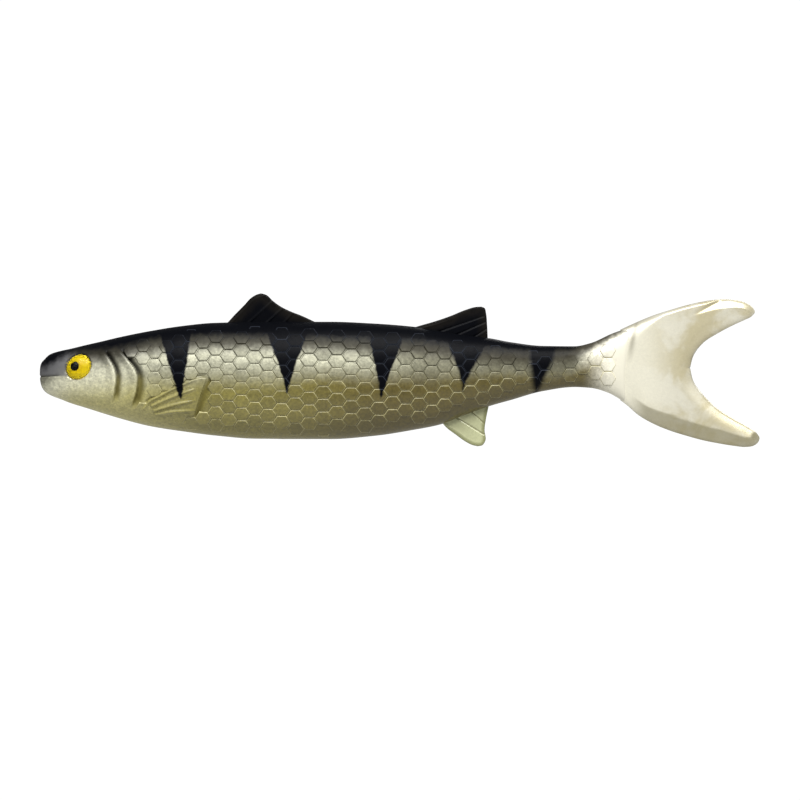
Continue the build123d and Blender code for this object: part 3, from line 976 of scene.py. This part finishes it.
class SwimbaitSkin(bpy.types.Operator):
    """Roll the skin of the head, flanks and stem, and press the gills, mouth and sockets into it"""

    bl_idname = "swimbait.skin"
    bl_label = "Skin"

    def execute(self, context):
        for stretch, (node, first, last, bend) in STRETCHES.items():
            obj = skin_tube(stretch, first, last)
            if stretch == "front":
                carve_head(obj)
                drill_line_hole(obj)
            elif stretch == "stem":
                close_stem(obj)
            smooth_shade(obj, 40)
            keep_rest(obj)
            finish_piece(obj, material(painted_pvc), "flank_pvc", [node], bend=bend)
        return {"FINISHED"}


# ---------------------------------------------------------------- scales


# Scales lie in columns down the flank: (number, X) of some columns, (X, height) of one row
# along the body, and (X, height of one scale)
COLUMN_X = [(-7, 21.6), (-6, 24.8), (0, 44.7), (5, 62.6), (15, 100.6), (31, 156.6)]
ROW_Z = [(21, 9.8), (45, 8.6), (74, 7.2), (89, 6.5), (111, 5.7), (128, 6.1), (146, 7.1), (157, 8.3)]
ROW_PITCH = [(21, 3.5), (74, 3.5), (111, 3.6), (157, 3.85)]

# The pectoral fin's outline on the flank, and the two ends of each of its rays
PECTORAL_TOP = [
    (27.7, -9.6), (29.7, -7.3), (32.5, -5.8), (37.2, -3.5), (42.2, -1.5), (44.4, -1.0), (45.9, -1.3),
]
PECTORAL_BOTTOM = [(28.3, -10.9), (31.1, -11.5), (36.0, -11.7), (42.2, -11.7)]
PECTORAL_RAYS = [
    ((30.6, -8.8), (43.5, -4.0)), ((31.2, -10.1), (42.6, -7.4)), ((31.6, -11.1), (42.4, -10.1)),
]


def one_scale():
    """A hexagonal scale of radius 1 with a bevelled rim, flat on top at height 1."""
    obj = start(bpy.ops.mesh.primitive_cylinder_add, "scale", vertices=6, radius=0.965, depth=2,
                rotation=(0, 0, math.radians(30)), end_fill_type="NGON")
    bpy.ops.object.transform_apply(location=False, rotation=True, scale=False)
    edit(obj, "DESELECT")
    bpy.ops.mesh.select_mode(type="FACE")
    leave()
    for face in obj.data.polygons:
        face.select = face.center.z > 0.9
    take(obj)
    bpy.ops.object.mode_set(mode="EDIT")
    for width in (0.03, 0.035, 0.03):
        bpy.ops.mesh.inset(thickness=width, depth=0)
    bpy.ops.mesh.poke()
    leave()
    return obj


def scale_profile(local):
    """Height share of each vertex of the pattern scale: 1 on the flat, less on the rim."""
    radius = np.maximum.reduce([
        np.abs(local[:, 1]),
        np.abs(local[:, 1]) * 0.5 + np.abs(local[:, 0]) * math.sqrt(3) / 2,
    ]) / (math.sqrt(3) / 2)
    top = np.interp(radius, [0.86, 0.89, 0.93, 0.965], [1.0, 0.95, 0.65, 0.1])
    return np.where(local[:, 2] > 0, top, -1.0)


def scale_centres():
    """X, Z, column pitch and row pitch of every scale on one flank."""
    column_x, row_z, row_pitch = smooth(COLUMN_X), smooth(ROW_Z), smooth(ROW_PITCH)
    gill = smooth(REAR_GILL)
    fin_top = np.array(PECTORAL_TOP).T
    out = []
    for column in range(-6, 33):
        x = float(column_x(column)) if column <= 31 else 156.6 + 3.5 * (column - 31)
        pitch = 3.5 if column > 30 else float(column_x(column + 0.5) - column_x(column - 0.5))
        tall = float(row_pitch(x))
        for row in range(-9, 4):
            z = float(row_z(x)) + tall * (row + (0.5 if column % 2 else 0.0))
            clear_of_gill = 1.9 if z > -5 else 3.4
            if x < float(gill(z)) + clear_of_gill or x > 158.6:
                continue
            rear_edge = float(np.interp(z, [-11.6, -9.0, -5.1, -1.6], [43.1, 43.9, 45.2, 46.9]))
            inside_fin = 29.5 < x < rear_edge + 1.0 and -12.0 < z < np.interp(x, *fin_top) + 0.3
            if not inside_fin:
                out.append((x, z, pitch, tall))
    return out


def scale_fade(x, z, tall):
    """1 where a scale stands fully out of the skin, less where the rows run out at the back and
    the belly."""
    middle, half, _ = section(x)
    top_room = middle + half - (z + tall / 2)
    bottom_room = (z - tall / 2) - (middle - half)
    return float(rise(top_room, 0.9, 2.6) * rise(bottom_room, 0.5, 1.6))


def lay_scale(local, share, spot, fade, tilt):
    """Places of one scale's vertices on the left flank: a facet that leans by its own tilt."""
    x, z, pitch, tall = spot
    xs, zs = x + local[:, 0] * (pitch / 1.5), z + local[:, 1] * (tall / math.sqrt(3))
    slope_x, slope_z = flank_slope(x, z)
    plane = flank(x, z) + (slope_x + tilt[0]) * (xs - x) + (slope_z + tilt[1]) * (zs - z)
    flat = sizes().scale_flatness
    ys = flat * plane + (1 - flat) * flank(xs, zs)
    normal = np.array([-slope_x, 1.0, -slope_z])
    normal /= np.linalg.norm(normal)
    height = share * (sizes().scale_height / MM) * fade - 0.1 * (1 - fade)
    lift = np.where(share > 0, height, -0.8)
    return (np.stack([xs, ys, zs], axis=1) + normal * lift[:, None]) * (1, -1, 1)


class SwimbaitScales(bpy.types.Operator):
    """Lay hexagonal scales over both flanks, each a bevelled facet fitted to the skin"""

    bl_idname = "swimbait.scales"
    bl_label = "Scales"

    def execute(self, context):
        pattern = one_scale()
        local = corners(pattern) * MM
        share = scale_profile(local)
        faces = [list(face.vertices) for face in pattern.data.polygons]
        bpy.data.objects.remove(pattern)
        random = np.random.default_rng(7)
        laid = {stretch: [] for stretch in STRETCHES}
        tones = {stretch: [] for stretch in STRETCHES}
        for spot in scale_centres():
            x, z, _, tall = spot
            fade = scale_fade(x, z, tall)
            tilt = random.normal(0, 0.035, 2)
            if fade < 0.05:
                continue
            stretch = "front" if x < REAR_FROM else "rear" if x < STEM_FROM else "stem"
            laid[stretch].append(lay_scale(local, share, spot, fade, tilt))
            tones[stretch].append(float(np.clip(random.normal(0, 0.6), -1, 1)))
        count = len(local)
        for stretch, scales in laid.items():
            mesh = bpy.data.meshes.new(f"{stretch}_scales")
            all_faces = [[i + n * count for i in face] for n in range(len(scales)) for face in faces]
            mesh.from_pydata((np.concatenate(scales) * MM).tolist(), [], all_faces)
            obj = bpy.data.objects.new(f"{stretch}_scales", mesh)
            # The rim share carries the painted shadow and highlight along each scale's rim
            keep(obj, "rim", np.tile(1 - np.maximum(share, 0) ** 3, len(scales)))
            keep(obj, "tone", np.repeat(tones[stretch], count))
            context.scene.collection.objects.link(obj)
            tidy_mesh(obj, 0.0001)
            apply_modifier(obj, "MIRROR", use_axis=(False, True, False), use_mirror_merge=False)
            turn_outwards(obj)
            smooth_shade(obj, 42)
            keep_rest(obj)
            finish_piece(obj, material(painted_pvc), "flank_pvc", bend=STRETCHES[stretch][3])
        return {"FINISHED"}


# ---------------------------------------------------------------- tail and fins


# The tail's outline, X and height: each lobe's outer edge from the root to the tip, and its
# inner edge from the fork to the tip
TAIL_UPPER = [
    (160.2, 12.2), (163, 13.5), (169.7, 16.3), (174.1, 17.7), (178.6, 19.0), (183, 20.0),
    (187.5, 20.6), (191.9, 20.5), (195.2, 19.6), (197.0, 18.3), (197.6, 17.3),
]
TAIL_UPPER_INNER = [
    (179.6, 1.6), (180.5, 4.9), (183, 8.3), (187.5, 11.3), (191.9, 13.6), (195.0, 15.0),
    (196.7, 15.9), (197.5, 16.8),
]
TAIL_LOWER_INNER = [
    (179.6, 1.6), (180.4, -1.8), (183, -5.6), (187.5, -9.9), (191.9, -12.7), (195.6, -14.8),
    (197.8, -16.2), (198.8, -17.5),
]
TAIL_LOWER = [
    (160.2, -7.4), (161.8, -8.6), (165.3, -11.6), (169.7, -14.1), (174.1, -15.9), (178.6, -17.3),
    (183, -18.5), (187.5, -19.4), (191.9, -20.1), (195.0, -20.4), (197.3, -20.0), (198.6, -18.9),
    (198.9, -18.0),
]
TAIL_FORK_SHARE = 0.42  # how much of a lobe's length lies before the fork


def tail_half_thickness(x, z):
    """Half the tail's thickness, the share of the lower bevel's face, which the paint darkens as painted shade,
    and the share of mist along the top edge and of painted shadow in the seam's crease.
    The lower edge and the upper lobe's top have bevelled faces, and the fork's edges are rounded."""
    edges = (TAIL_UPPER, TAIL_LOWER, TAIL_UPPER_INNER, TAIL_LOWER_INNER)
    upper, lower, above, below = (distance_to(spline(edge), x, z) for edge in edges)
    thick = np.interp(x, [160, 168, 180, 198], [1.12, 1.05, 1.0, 0.7]) * sizes().tail_thickness / MM / 2
    top_width = np.interp(x, [182, 190, 196], [3.2, 2.4, 1.6])
    plain_top = round_edge(upper, np.interp(x, [160, 166, 172], [11.0, 4.0, 1.1]))
    lens = rise(x + 2.5 * upper, 186.5, 189.5)
    top = plain_top * (1 - lens) + bevelled(upper, top_width, 0.3) * lens
    bottom_width = np.interp(x, [162, 174, 188, 198], [2.6, 4.3, 3.9, 2.2])
    free = rise(x, 162, 168)
    bottom = round_edge(lower, 9.5) * (1 - free) + bevelled(lower, bottom_width, 0.12) * free
    fork_up = round_edge(above, np.interp(x, [180, 190], [4.0, 6.0]))
    fork_down = round_edge(below, 0.6) * (0.4 + 0.6 * np.sin(math.pi / 2 * np.clip(below / 4.0, 0, 1)))
    fork = fork_down + (fork_up - fork_down) * rise(z, -1.0, 4.2)
    # The lower bevel's face, which the paint darkens as painted shade
    bevel_shade = free * rise(lower, bottom_width + 0.25, bottom_width - 0.25)
    mist = 0.7 * np.exp(-(upper / 1.5) ** 2) * rise(x, 176, 162)
    past_seam = x - seam_bow(z) - TAIL_SEAM_X
    # A painted shadow in the crease just past the seam
    crease_shadow = 0.8 * np.exp(-((past_seam - 0.4) / 0.8) ** 2) * rise(z, 2, 10)
    return thick * top * bottom * fork, bevel_shade, np.maximum(mist, crease_shadow)


def lobe(name, outer, inner):
    """One half of the tail, a grid from its outer edge to the middle line and then the fork."""
    outer_path, inner_path = spline(outer), spline(inner)
    middle_start = np.array([160.2, 2.2])
    fork_point = np.array(inner[0])

    def place(u, v):
        s = np.clip(u, 0, 1)
        along = np.clip(s / TAIL_FORK_SHARE, 0, 1)[:, None]
        past = np.clip((s - TAIL_FORK_SHARE) / (1 - TAIL_FORK_SHARE), 0, 1)
        middle = middle_start * (1 - along) + fork_point * along
        inside = np.where((s <= TAIL_FORK_SHARE)[:, None], middle, inner_path(past))
        outside = outer_path(s ** 0.92)
        across = (0.4 * v + 0.6 * (0.5 - 0.5 * np.cos(math.pi * v)))[:, None]
        spot = outside * (1 - across) + inside * across
        return spot[:, 0], np.zeros(len(u)), spot[:, 1]

    return grid(name, 110, 44, place)


def blade(obj, half):
    """Give a flat grid its half thickness, none at its rim, and mirror it to the other side."""
    half = np.maximum(half, 0.02)
    edge_of = np.zeros(len(obj.data.loops), int)
    obj.data.loops.foreach_get("edge_index", edge_of)
    ends = np.zeros(len(obj.data.edges) * 2, int)
    obj.data.edges.foreach_get("vertices", ends)
    rim = ends.reshape(-1, 2)[np.bincount(edge_of, minlength=len(obj.data.edges)) == 1]
    half[rim.ravel()] = 0
    places = corners(obj)
    places[:, 1] = -half
    move_corners(obj, places)
    apply_modifier(obj, "MIRROR", use_axis=(False, True, False), use_mirror_merge=True,
                   merge_threshold=0.004 * MM)
    tidy_mesh(obj, 0.002)


class SwimbaitTail(bpy.types.Operator):
    """Shape the forked tail as one rounded blade"""

    bl_idname = "swimbait.tail"
    bl_label = "Tail"

    def execute(self, context):
        tail = lobe("tail", TAIL_UPPER, TAIL_UPPER_INNER)
        lobe("lower_lobe", TAIL_LOWER, TAIL_LOWER_INNER).select_set(True)
        tail.select_set(True)
        bpy.context.view_layer.objects.active = tail
        bpy.ops.object.join()
        tidy_mesh(tail, 0.002)
        places = corners(tail)
        half, bevel_shade, shade = tail_half_thickness(places[:, 0], places[:, 2])
        # The paint reads these shares for the bevel's painted shade, the top edge's mist and the crease's painted
        # shadow
        keep(tail, "bevel_shade", bevel_shade)
        keep(tail, "shade", shade)
        blade(tail, half)
        smooth_shade(tail, 50)
        keep_rest(tail)
        finish_piece(tail, material(pearl_pvc), "pearl_pvc", ["tail_fin"], bend=STRETCHES["stem"][3])
        return {"FINISHED"}


# Each free fin, by CAD node: its body and slot, how far its root lies inside the skin, its front
# edge, its rear or upper edge, the share of its root and of that edge where each ray starts and
# ends, and how far a ray stands up, or sinks
FINS = {
    "front_dorsal_fin": {
        "body": "front_dorsal", "slot": "black_pvc", "sink": (0.0, -1.9),
        "front": [
            (48.8, 13.3), (51.0, 14.5), (53.3, 16.6), (55.9, 19.2), (57.6, 21.0), (59.3, 22.0),
            (60.4, 22.3),
        ],
        "rear": [
            (60.4, 22.3), (61.8, 21.9), (63.6, 20.3), (65.8, 18.7), (68.8, 17.2), (71.4, 16.2),
            (75.3, 14.4),
        ],
        "rays": [(0.29, 0.24), (0.49, 0.44), (0.68, 0.62)], "ray_height": 0.22,
    },
    "rear_dorsal_fin": {
        "body": "rear_dorsal", "slot": "black_pvc", "sink": (0.0, -1.9),
        "front": [
            (98.5, 12.5), (103.0, 13.2), (107.5, 14.2), (113.0, 16.0), (117.2, 17.7), (120.0, 18.5),
            (121.6, 18.6),
        ],
        "rear": [(121.6, 18.6), (122.5, 18.2), (122.9, 16.8), (123.2, 13.6), (123.4, 9.2)],
        "rays": [(0.4, 0.3), (0.62, 0.47), (0.82, 0.66)], "ray_height": -0.22,
    },
    "anal_fin": {
        "body": "anal", "slot": "pearl_pvc", "sink": (0.0, 1.9),
        "front": [(110.0, -14.3), (114.2, -16.8), (117.2, -18.9), (119.2, -19.9), (120.6, -20.2)],
        "rear": [
            (120.6, -20.2), (121.9, -19.9), (122.7, -18.7), (122.5, -15.6), (123.0, -12.0),
            (123.7, -8.8),
        ],
        "rays": [(0.36, 0.34), (0.66, 0.58)], "ray_height": -0.2,
    },
}


def fin_blade(name, facts):
    """A thin fin: a grid between its root, its front edge and its rear edge, with raised or
    pressed rays that run from the root to the rear edge."""
    front, rear = spline(facts["front"]), spline(facts["rear"])
    foot_front, foot_rear, tip = (
        np.array(point) for point in (facts["front"][0], facts["rear"][-1], facts["rear"][0]))
    sink = np.array(facts["sink"])

    def place(u, v):
        across, up = u[:, None], v[:, None]
        root = foot_front * (1 - across) + foot_rear * across + sink * (1 - up) ** 7
        # Pull the first lines of the grid onto the curved front edge
        straight = foot_front * (1 - up) + tip * up
        bulge = (front(v) - straight) * (1 - across) ** 2
        spot = root * (1 - up) + rear(u) * up + bulge
        return spot[:, 0], np.zeros(len(u)), spot[:, 1]

    obj = grid(name, 120, 60, place)
    places = corners(obj)
    x, z = places[:, 0], places[:, 2]
    from_front = distance_to(front, x, z)
    rim = np.minimum(from_front, distance_to(rear, x, z))
    root = distance_to(spline([foot_front + sink, foot_rear + sink]), x, z)
    half = sizes().fin_thickness / MM / 2 * (0.5 + 0.5 * np.clip(rim / 9.0, 0, 1))
    front_ridge = np.exp(-((from_front - 1.0) / 0.28) ** 2)
    half = half + 0.12 * front_ridge * rise(x, foot_rear[0], foot_front[0])
    on_ray = np.zeros(len(x))
    for root_highlight, edge_share in facts["rays"]:
        foot = foot_front * (1 - root_highlight) + foot_rear * root_highlight
        head = foot + (rear(edge_share) - foot) * 0.94
        gap = distance_to(spline([foot, head]), x, z)
        on_ray = np.maximum(on_ray, np.exp(-(gap / 0.26) ** 2))
    half = half + facts["ray_height"] * on_ray
    half = np.maximum(half, 0.15) * round_edge(rim, 0.5) * round_edge(root, 0.6)
    keep(obj, "edge_mm", rim)
    keep(obj, "ray", on_ray)
    blade(obj, half)
    return obj


class SwimbaitFins(bpy.types.Operator):
    """Shape the two dorsal fins and the anal fin, thin blades with rays"""

    bl_idname = "swimbait.fins"
    bl_label = "Free fins"

    def execute(self, context):
        for name, facts in FINS.items():
            obj = fin_blade(name.replace("_fin", ""), facts)
            smooth_shade(obj, 60)
            keep_rest(obj)
            finish = pale_pvc if name == "anal_fin" else black_pvc
            finish_piece(obj, material(finish), facts["slot"], [name], body=facts["body"])
        return {"FINISHED"}


def pectoral_fin(side):
    """A pectoral fin in relief: a pad on the flank with a raised rim and raised rays."""
    top, bottom = spline(PECTORAL_TOP), spline(PECTORAL_BOTTOM)

    def place(u, v):
        spot = top(u) * (1 - v)[:, None] + bottom(u) * v[:, None]
        x, z = spot[:, 0], spot[:, 1]
        return x, flank(x, z), z

    word = "left" if side < 0 else "right"
    obj = grid(f"{word}_pectoral", 90, 72, place)
    places = corners(obj)
    x, z = places[:, 0], places[:, 2]
    ends = (spline([PECTORAL_TOP[i], PECTORAL_BOTTOM[i]]) for i in (0, -1))
    from_top, *others = (distance_to(side_line, x, z) for side_line in (top, bottom, *ends))
    rim = round_edge(np.minimum.reduce([from_top, *others]), 0.45)

    # A pad with a raised top edge and rays, each with a hollow beside it
    height = 0.3 + 0.25 * rise(x, 30, 45)
    height += 0.34 * np.exp(-((from_top - 0.45) / 0.3) ** 2) * rise(x, 46.0, 40.0)
    height -= 0.22 * np.exp(-((from_top - 1.15) / 0.35) ** 2) * rise(x, 44.0, 38.0)
    for first, last in PECTORAL_RAYS:
        bowed = ((first[0] + last[0]) / 2, (first[1] + last[1]) / 2 + 0.25)
        ray = distance_to(spline([first, bowed, last]), x, z)
        height += 0.3 * np.exp(-(ray / 0.3) ** 2) * rise(x, 43.8, 40.5)
        height -= 0.16 * np.exp(-((ray - 0.75) / 0.35) ** 2) * rise(x, 43.0, 37.0)
    height = height * rim - 0.5 * (1 - rim)
    slope_x, slope_z = flank_slope(x, z)
    normal = np.stack([-slope_x, np.ones_like(x), -slope_z], axis=1)
    normal /= np.linalg.norm(normal, axis=1)[:, None]
    move_corners(obj, (places + normal * height[:, None]) * (1, -1, 1))
    tidy_mesh(obj, 0.01)
    apply_modifier(obj, "SOLIDIFY", thickness=0.6 * MM, offset=-1)
    if side > 0:
        move_corners(obj, corners(obj) * (1, -1, 1))
    turn_outwards(obj)
    smooth_shade(obj, 50)
    keep_rest(obj)
    return finish_piece(obj, material(painted_pvc), "flank_pvc", [f"{word}_pectoral_fin"], body="head")


class SwimbaitPectorals(bpy.types.Operator):
    """Raise the pectoral fins from the flanks"""

    bl_idname = "swimbait.pectorals"
    bl_label = "Pectoral fins"

    def execute(self, context):
        for side in (-1, 1):
            pectoral_fin(side)
        return {"FINISHED"}


# ---------------------------------------------------------------- eyes


def eye_matrix(side):
    """Places the eye: its origin is the bead's centre, X its long way and Z out of the head."""
    along, up = flank_slope(EYE_X, EYE_Z)
    out = Vector((-float(along), side, -float(up))).normalized()
    surface = Vector((EYE_X, side * float(flank(EYE_X, EYE_Z)), EYE_Z)) * MM
    long_way = Vector((math.cos(EYE_TILT), 0, math.sin(EYE_TILT)))
    across = out.cross(long_way).normalized()
    long_way = across.cross(out)
    turn = Matrix((long_way, across, out)).transposed().to_4x4()
    return Matrix.Translation(surface - out * EYE_SINK * MM) @ turn


def dome(name, radii, segments=64):
    """A bead with three radii, in millimetres."""
    obj = start(bpy.ops.mesh.primitive_uv_sphere_add, name, segments=segments,
                ring_count=segments // 2, radius=1)
    edit(obj)
    bpy.ops.transform.resize(value=tuple(r * MM for r in radii))
    leave()
    return obj


class SwimbaitEyes(bpy.types.Operator):
    """Set the eyes: a yellow bead with a pale rim, a black pupil and a clear dome"""

    bl_idname = "swimbait.eyes"
    bl_label = "Eyes"

    def execute(self, context):
        for word, side in (("left", -1), ("right", 1)):
            matrix = eye_matrix(side)
            iris = dome(f"{word}_iris", (EYE_LONG, EYE_SHORT, IRIS_HEIGHT))
            places = corners(iris)
            ring = np.hypot(places[:, 0] / EYE_LONG, places[:, 1] / EYE_SHORT)
            places[:, 2] += 0.1 * np.exp(-((ring - 0.9) / 0.05) ** 2) * (places[:, 2] > 0)
            move_corners(iris, places)
            keep(iris, "ring", ring)

            # The pupil lies on the iris, a little towards the nose
            pupil = dome(f"{word}_eye_pupil", (PUPIL_RADIUS, PUPIL_RADIUS, 0.55), 48)
            forward = matrix.to_3x3().inverted() @ Vector((-0.65, 0, 0))
            fall = (forward.x / EYE_LONG) ** 2 + (forward.y / EYE_SHORT) ** 2
            forward.z = IRIS_HEIGHT * math.sqrt(1 - fall) - 0.33
            pupil.data.transform(Matrix.Translation(forward * MM))
            lens = dome(f"{word}_dome", (EYE_LONG + 0.25, EYE_SHORT + 0.25, IRIS_HEIGHT + 0.4))
            for piece, finish, slot, node in (
                (iris, iris_lacquer, "yellow_iris", f"{word}_eye"),
                (pupil, pupil_lacquer, "black_pupil", f"{word}_pupil"),
                (lens, clear_resin, "clear_resin", f"{word}_eye_lens"),
            ):
                piece.data.transform(matrix)
                smooth_shade(piece, 60)
                finish_piece(piece, material(finish), slot, [node], body="head")
        return {"FINISHED"}


# ---------------------------------------------------------------- inner parts and stage


class SwimbaitInnerParts(bpy.types.Operator):
    """Finish the line tube, the keel weight and the woven ribbon inside the casting"""

    bl_idname = "swimbait.inner_parts"
    bl_label = "Inner parts"

    def execute(self, context):
        finishes = {"line_tube": tube_plastic, "keel_weight": turned_brass}
        for name, node in frame["nodes"].items():
            make = finishes.get(name) or (woven_nylon if name.startswith("spine_ribbon") else None)
            if make:
                node.data.materials.clear()
                node.data.materials.append(material(make))
        return {"FINISHED"}


class SwimbaitStage(bpy.types.Operator):
    """Set the pale floor, the soft studio light and the side-on camera"""

    bl_idname = "swimbait.stage"
    bl_label = "Stage"

    def execute(self, context):
        low, high = CAD_BOX
        centre = (Vector(low) + Vector(high)) / 2
        length = high[0] - low[0]
        floor = start(bpy.ops.mesh.primitive_circle_add, "floor", vertices=96, radius=3.1 * length,
                      fill_type="NGON", location=(centre.x, 0, low[2] - 0.78 * length))
        bpy.ops.object.transform_apply(location=True)
        floor.data.materials.append(material(paper_white))

        # The surroundings look white, and light the lure only weakly
        world = bpy.data.worlds.new("studio")
        context.scene.world = world
        world.use_nodes = True
        nodes, links = world.node_tree.nodes, world.node_tree.links
        background = nodes["Background"]
        background.inputs["Color"].default_value = (1, 1, 1, 1)
        seen = nodes.new("ShaderNodeLightPath")
        strength = nodes.new("ShaderNodeMapRange")
        strength.inputs["To Min"].default_value = 0.16
        strength.inputs["To Max"].default_value = 1.05
        links.new(seen.outputs["Is Camera Ray"], strength.inputs["Value"])
        links.new(strength.outputs["Result"], background.inputs["Strength"])

        # Each light's name, place from the lure's middle and size in metres, and power in watts
        lights = (
            ("softbox", (0.08, -0.52, 0.62), (0.9, 0.5), 13.0),
            ("far_side", (0.4, 0.7, 0.5), (0.6, 0.4), 3.0),
        )
        for name, offset, size, power in lights:
            light = bpy.data.lights.new(name, "AREA")
            light.shape = "RECTANGLE"
            light.size, light.size_y = size
            light.energy = power
            lamp = bpy.data.objects.new(name, light)
            context.scene.collection.objects.link(lamp)
            lamp.location = centre + Vector(offset)
            lamp.rotation_euler = (-Vector(offset)).to_track_quat("-Z", "Y").to_euler()

        # The lure's length fills nine tenths of the picture, a little above its middle
        camera = bpy.data.cameras.new("camera")
        camera.sensor_width = 36
        camera.lens = 200
        distance = (length / 0.9) * camera.lens / camera.sensor_width
        viewer = bpy.data.objects.new("camera", camera)
        context.scene.collection.objects.link(viewer)
        viewer.location = (centre.x, -distance, centre.z - 8.8 * MM)
        viewer.rotation_euler = (math.pi / 2, 0, 0)
        context.scene.camera = viewer
        context.scene.view_settings.view_transform = "Standard"
        return {"FINISHED"}


OPERATORS = (
    SwimbaitSkin, SwimbaitScales, SwimbaitTail, SwimbaitFins, SwimbaitPectorals, SwimbaitEyes,
    SwimbaitInnerParts, SwimbaitStage,
)


class SwimbaitPanel(bpy.types.Panel):
    """Shows the swimbait's sizes and colours, and the buttons that make its pieces"""

    bl_idname = "VIEW3D_PT_swimbait"
    bl_label = "Soft swimbait"
    bl_space_type = "VIEW_3D"
    bl_region_type = "UI"
    bl_category = "Swimbait"

    def draw(self, context):
        for group in (context.scene.swimbait_sizes, context.scene.swimbait_colours):
            for key in group.bl_rna.properties.keys():
                if key not in ("rna_type", "name"):
                    self.layout.prop(group, key)
        for operator in OPERATORS:
            self.layout.operator(operator.bl_idname)


CLASSES = (SwimbaitSizes, SwimbaitColours, *OPERATORS, SwimbaitPanel)


def register():
    for item in CLASSES:
        bpy.utils.register_class(item)
    bpy.types.Scene.swimbait_sizes = PointerProperty(type=SwimbaitSizes)
    bpy.types.Scene.swimbait_colours = PointerProperty(type=SwimbaitColours)


def unregister():
    del bpy.types.Scene.swimbait_sizes
    del bpy.types.Scene.swimbait_colours
    for item in reversed(CLASSES):
        bpy.utils.unregister_class(item)


def main():
    """Register the add-on and make every piece, its materials and its stage."""
    register()
    bpy.ops.swimbait.skin()
    bpy.ops.swimbait.scales()
    bpy.ops.swimbait.tail()
    bpy.ops.swimbait.fins()
    bpy.ops.swimbait.pectorals()
    bpy.ops.swimbait.eyes()
    bpy.ops.swimbait.inner_parts()
    bpy.ops.swimbait.stage()


if __name__ == "__main__":
    main()
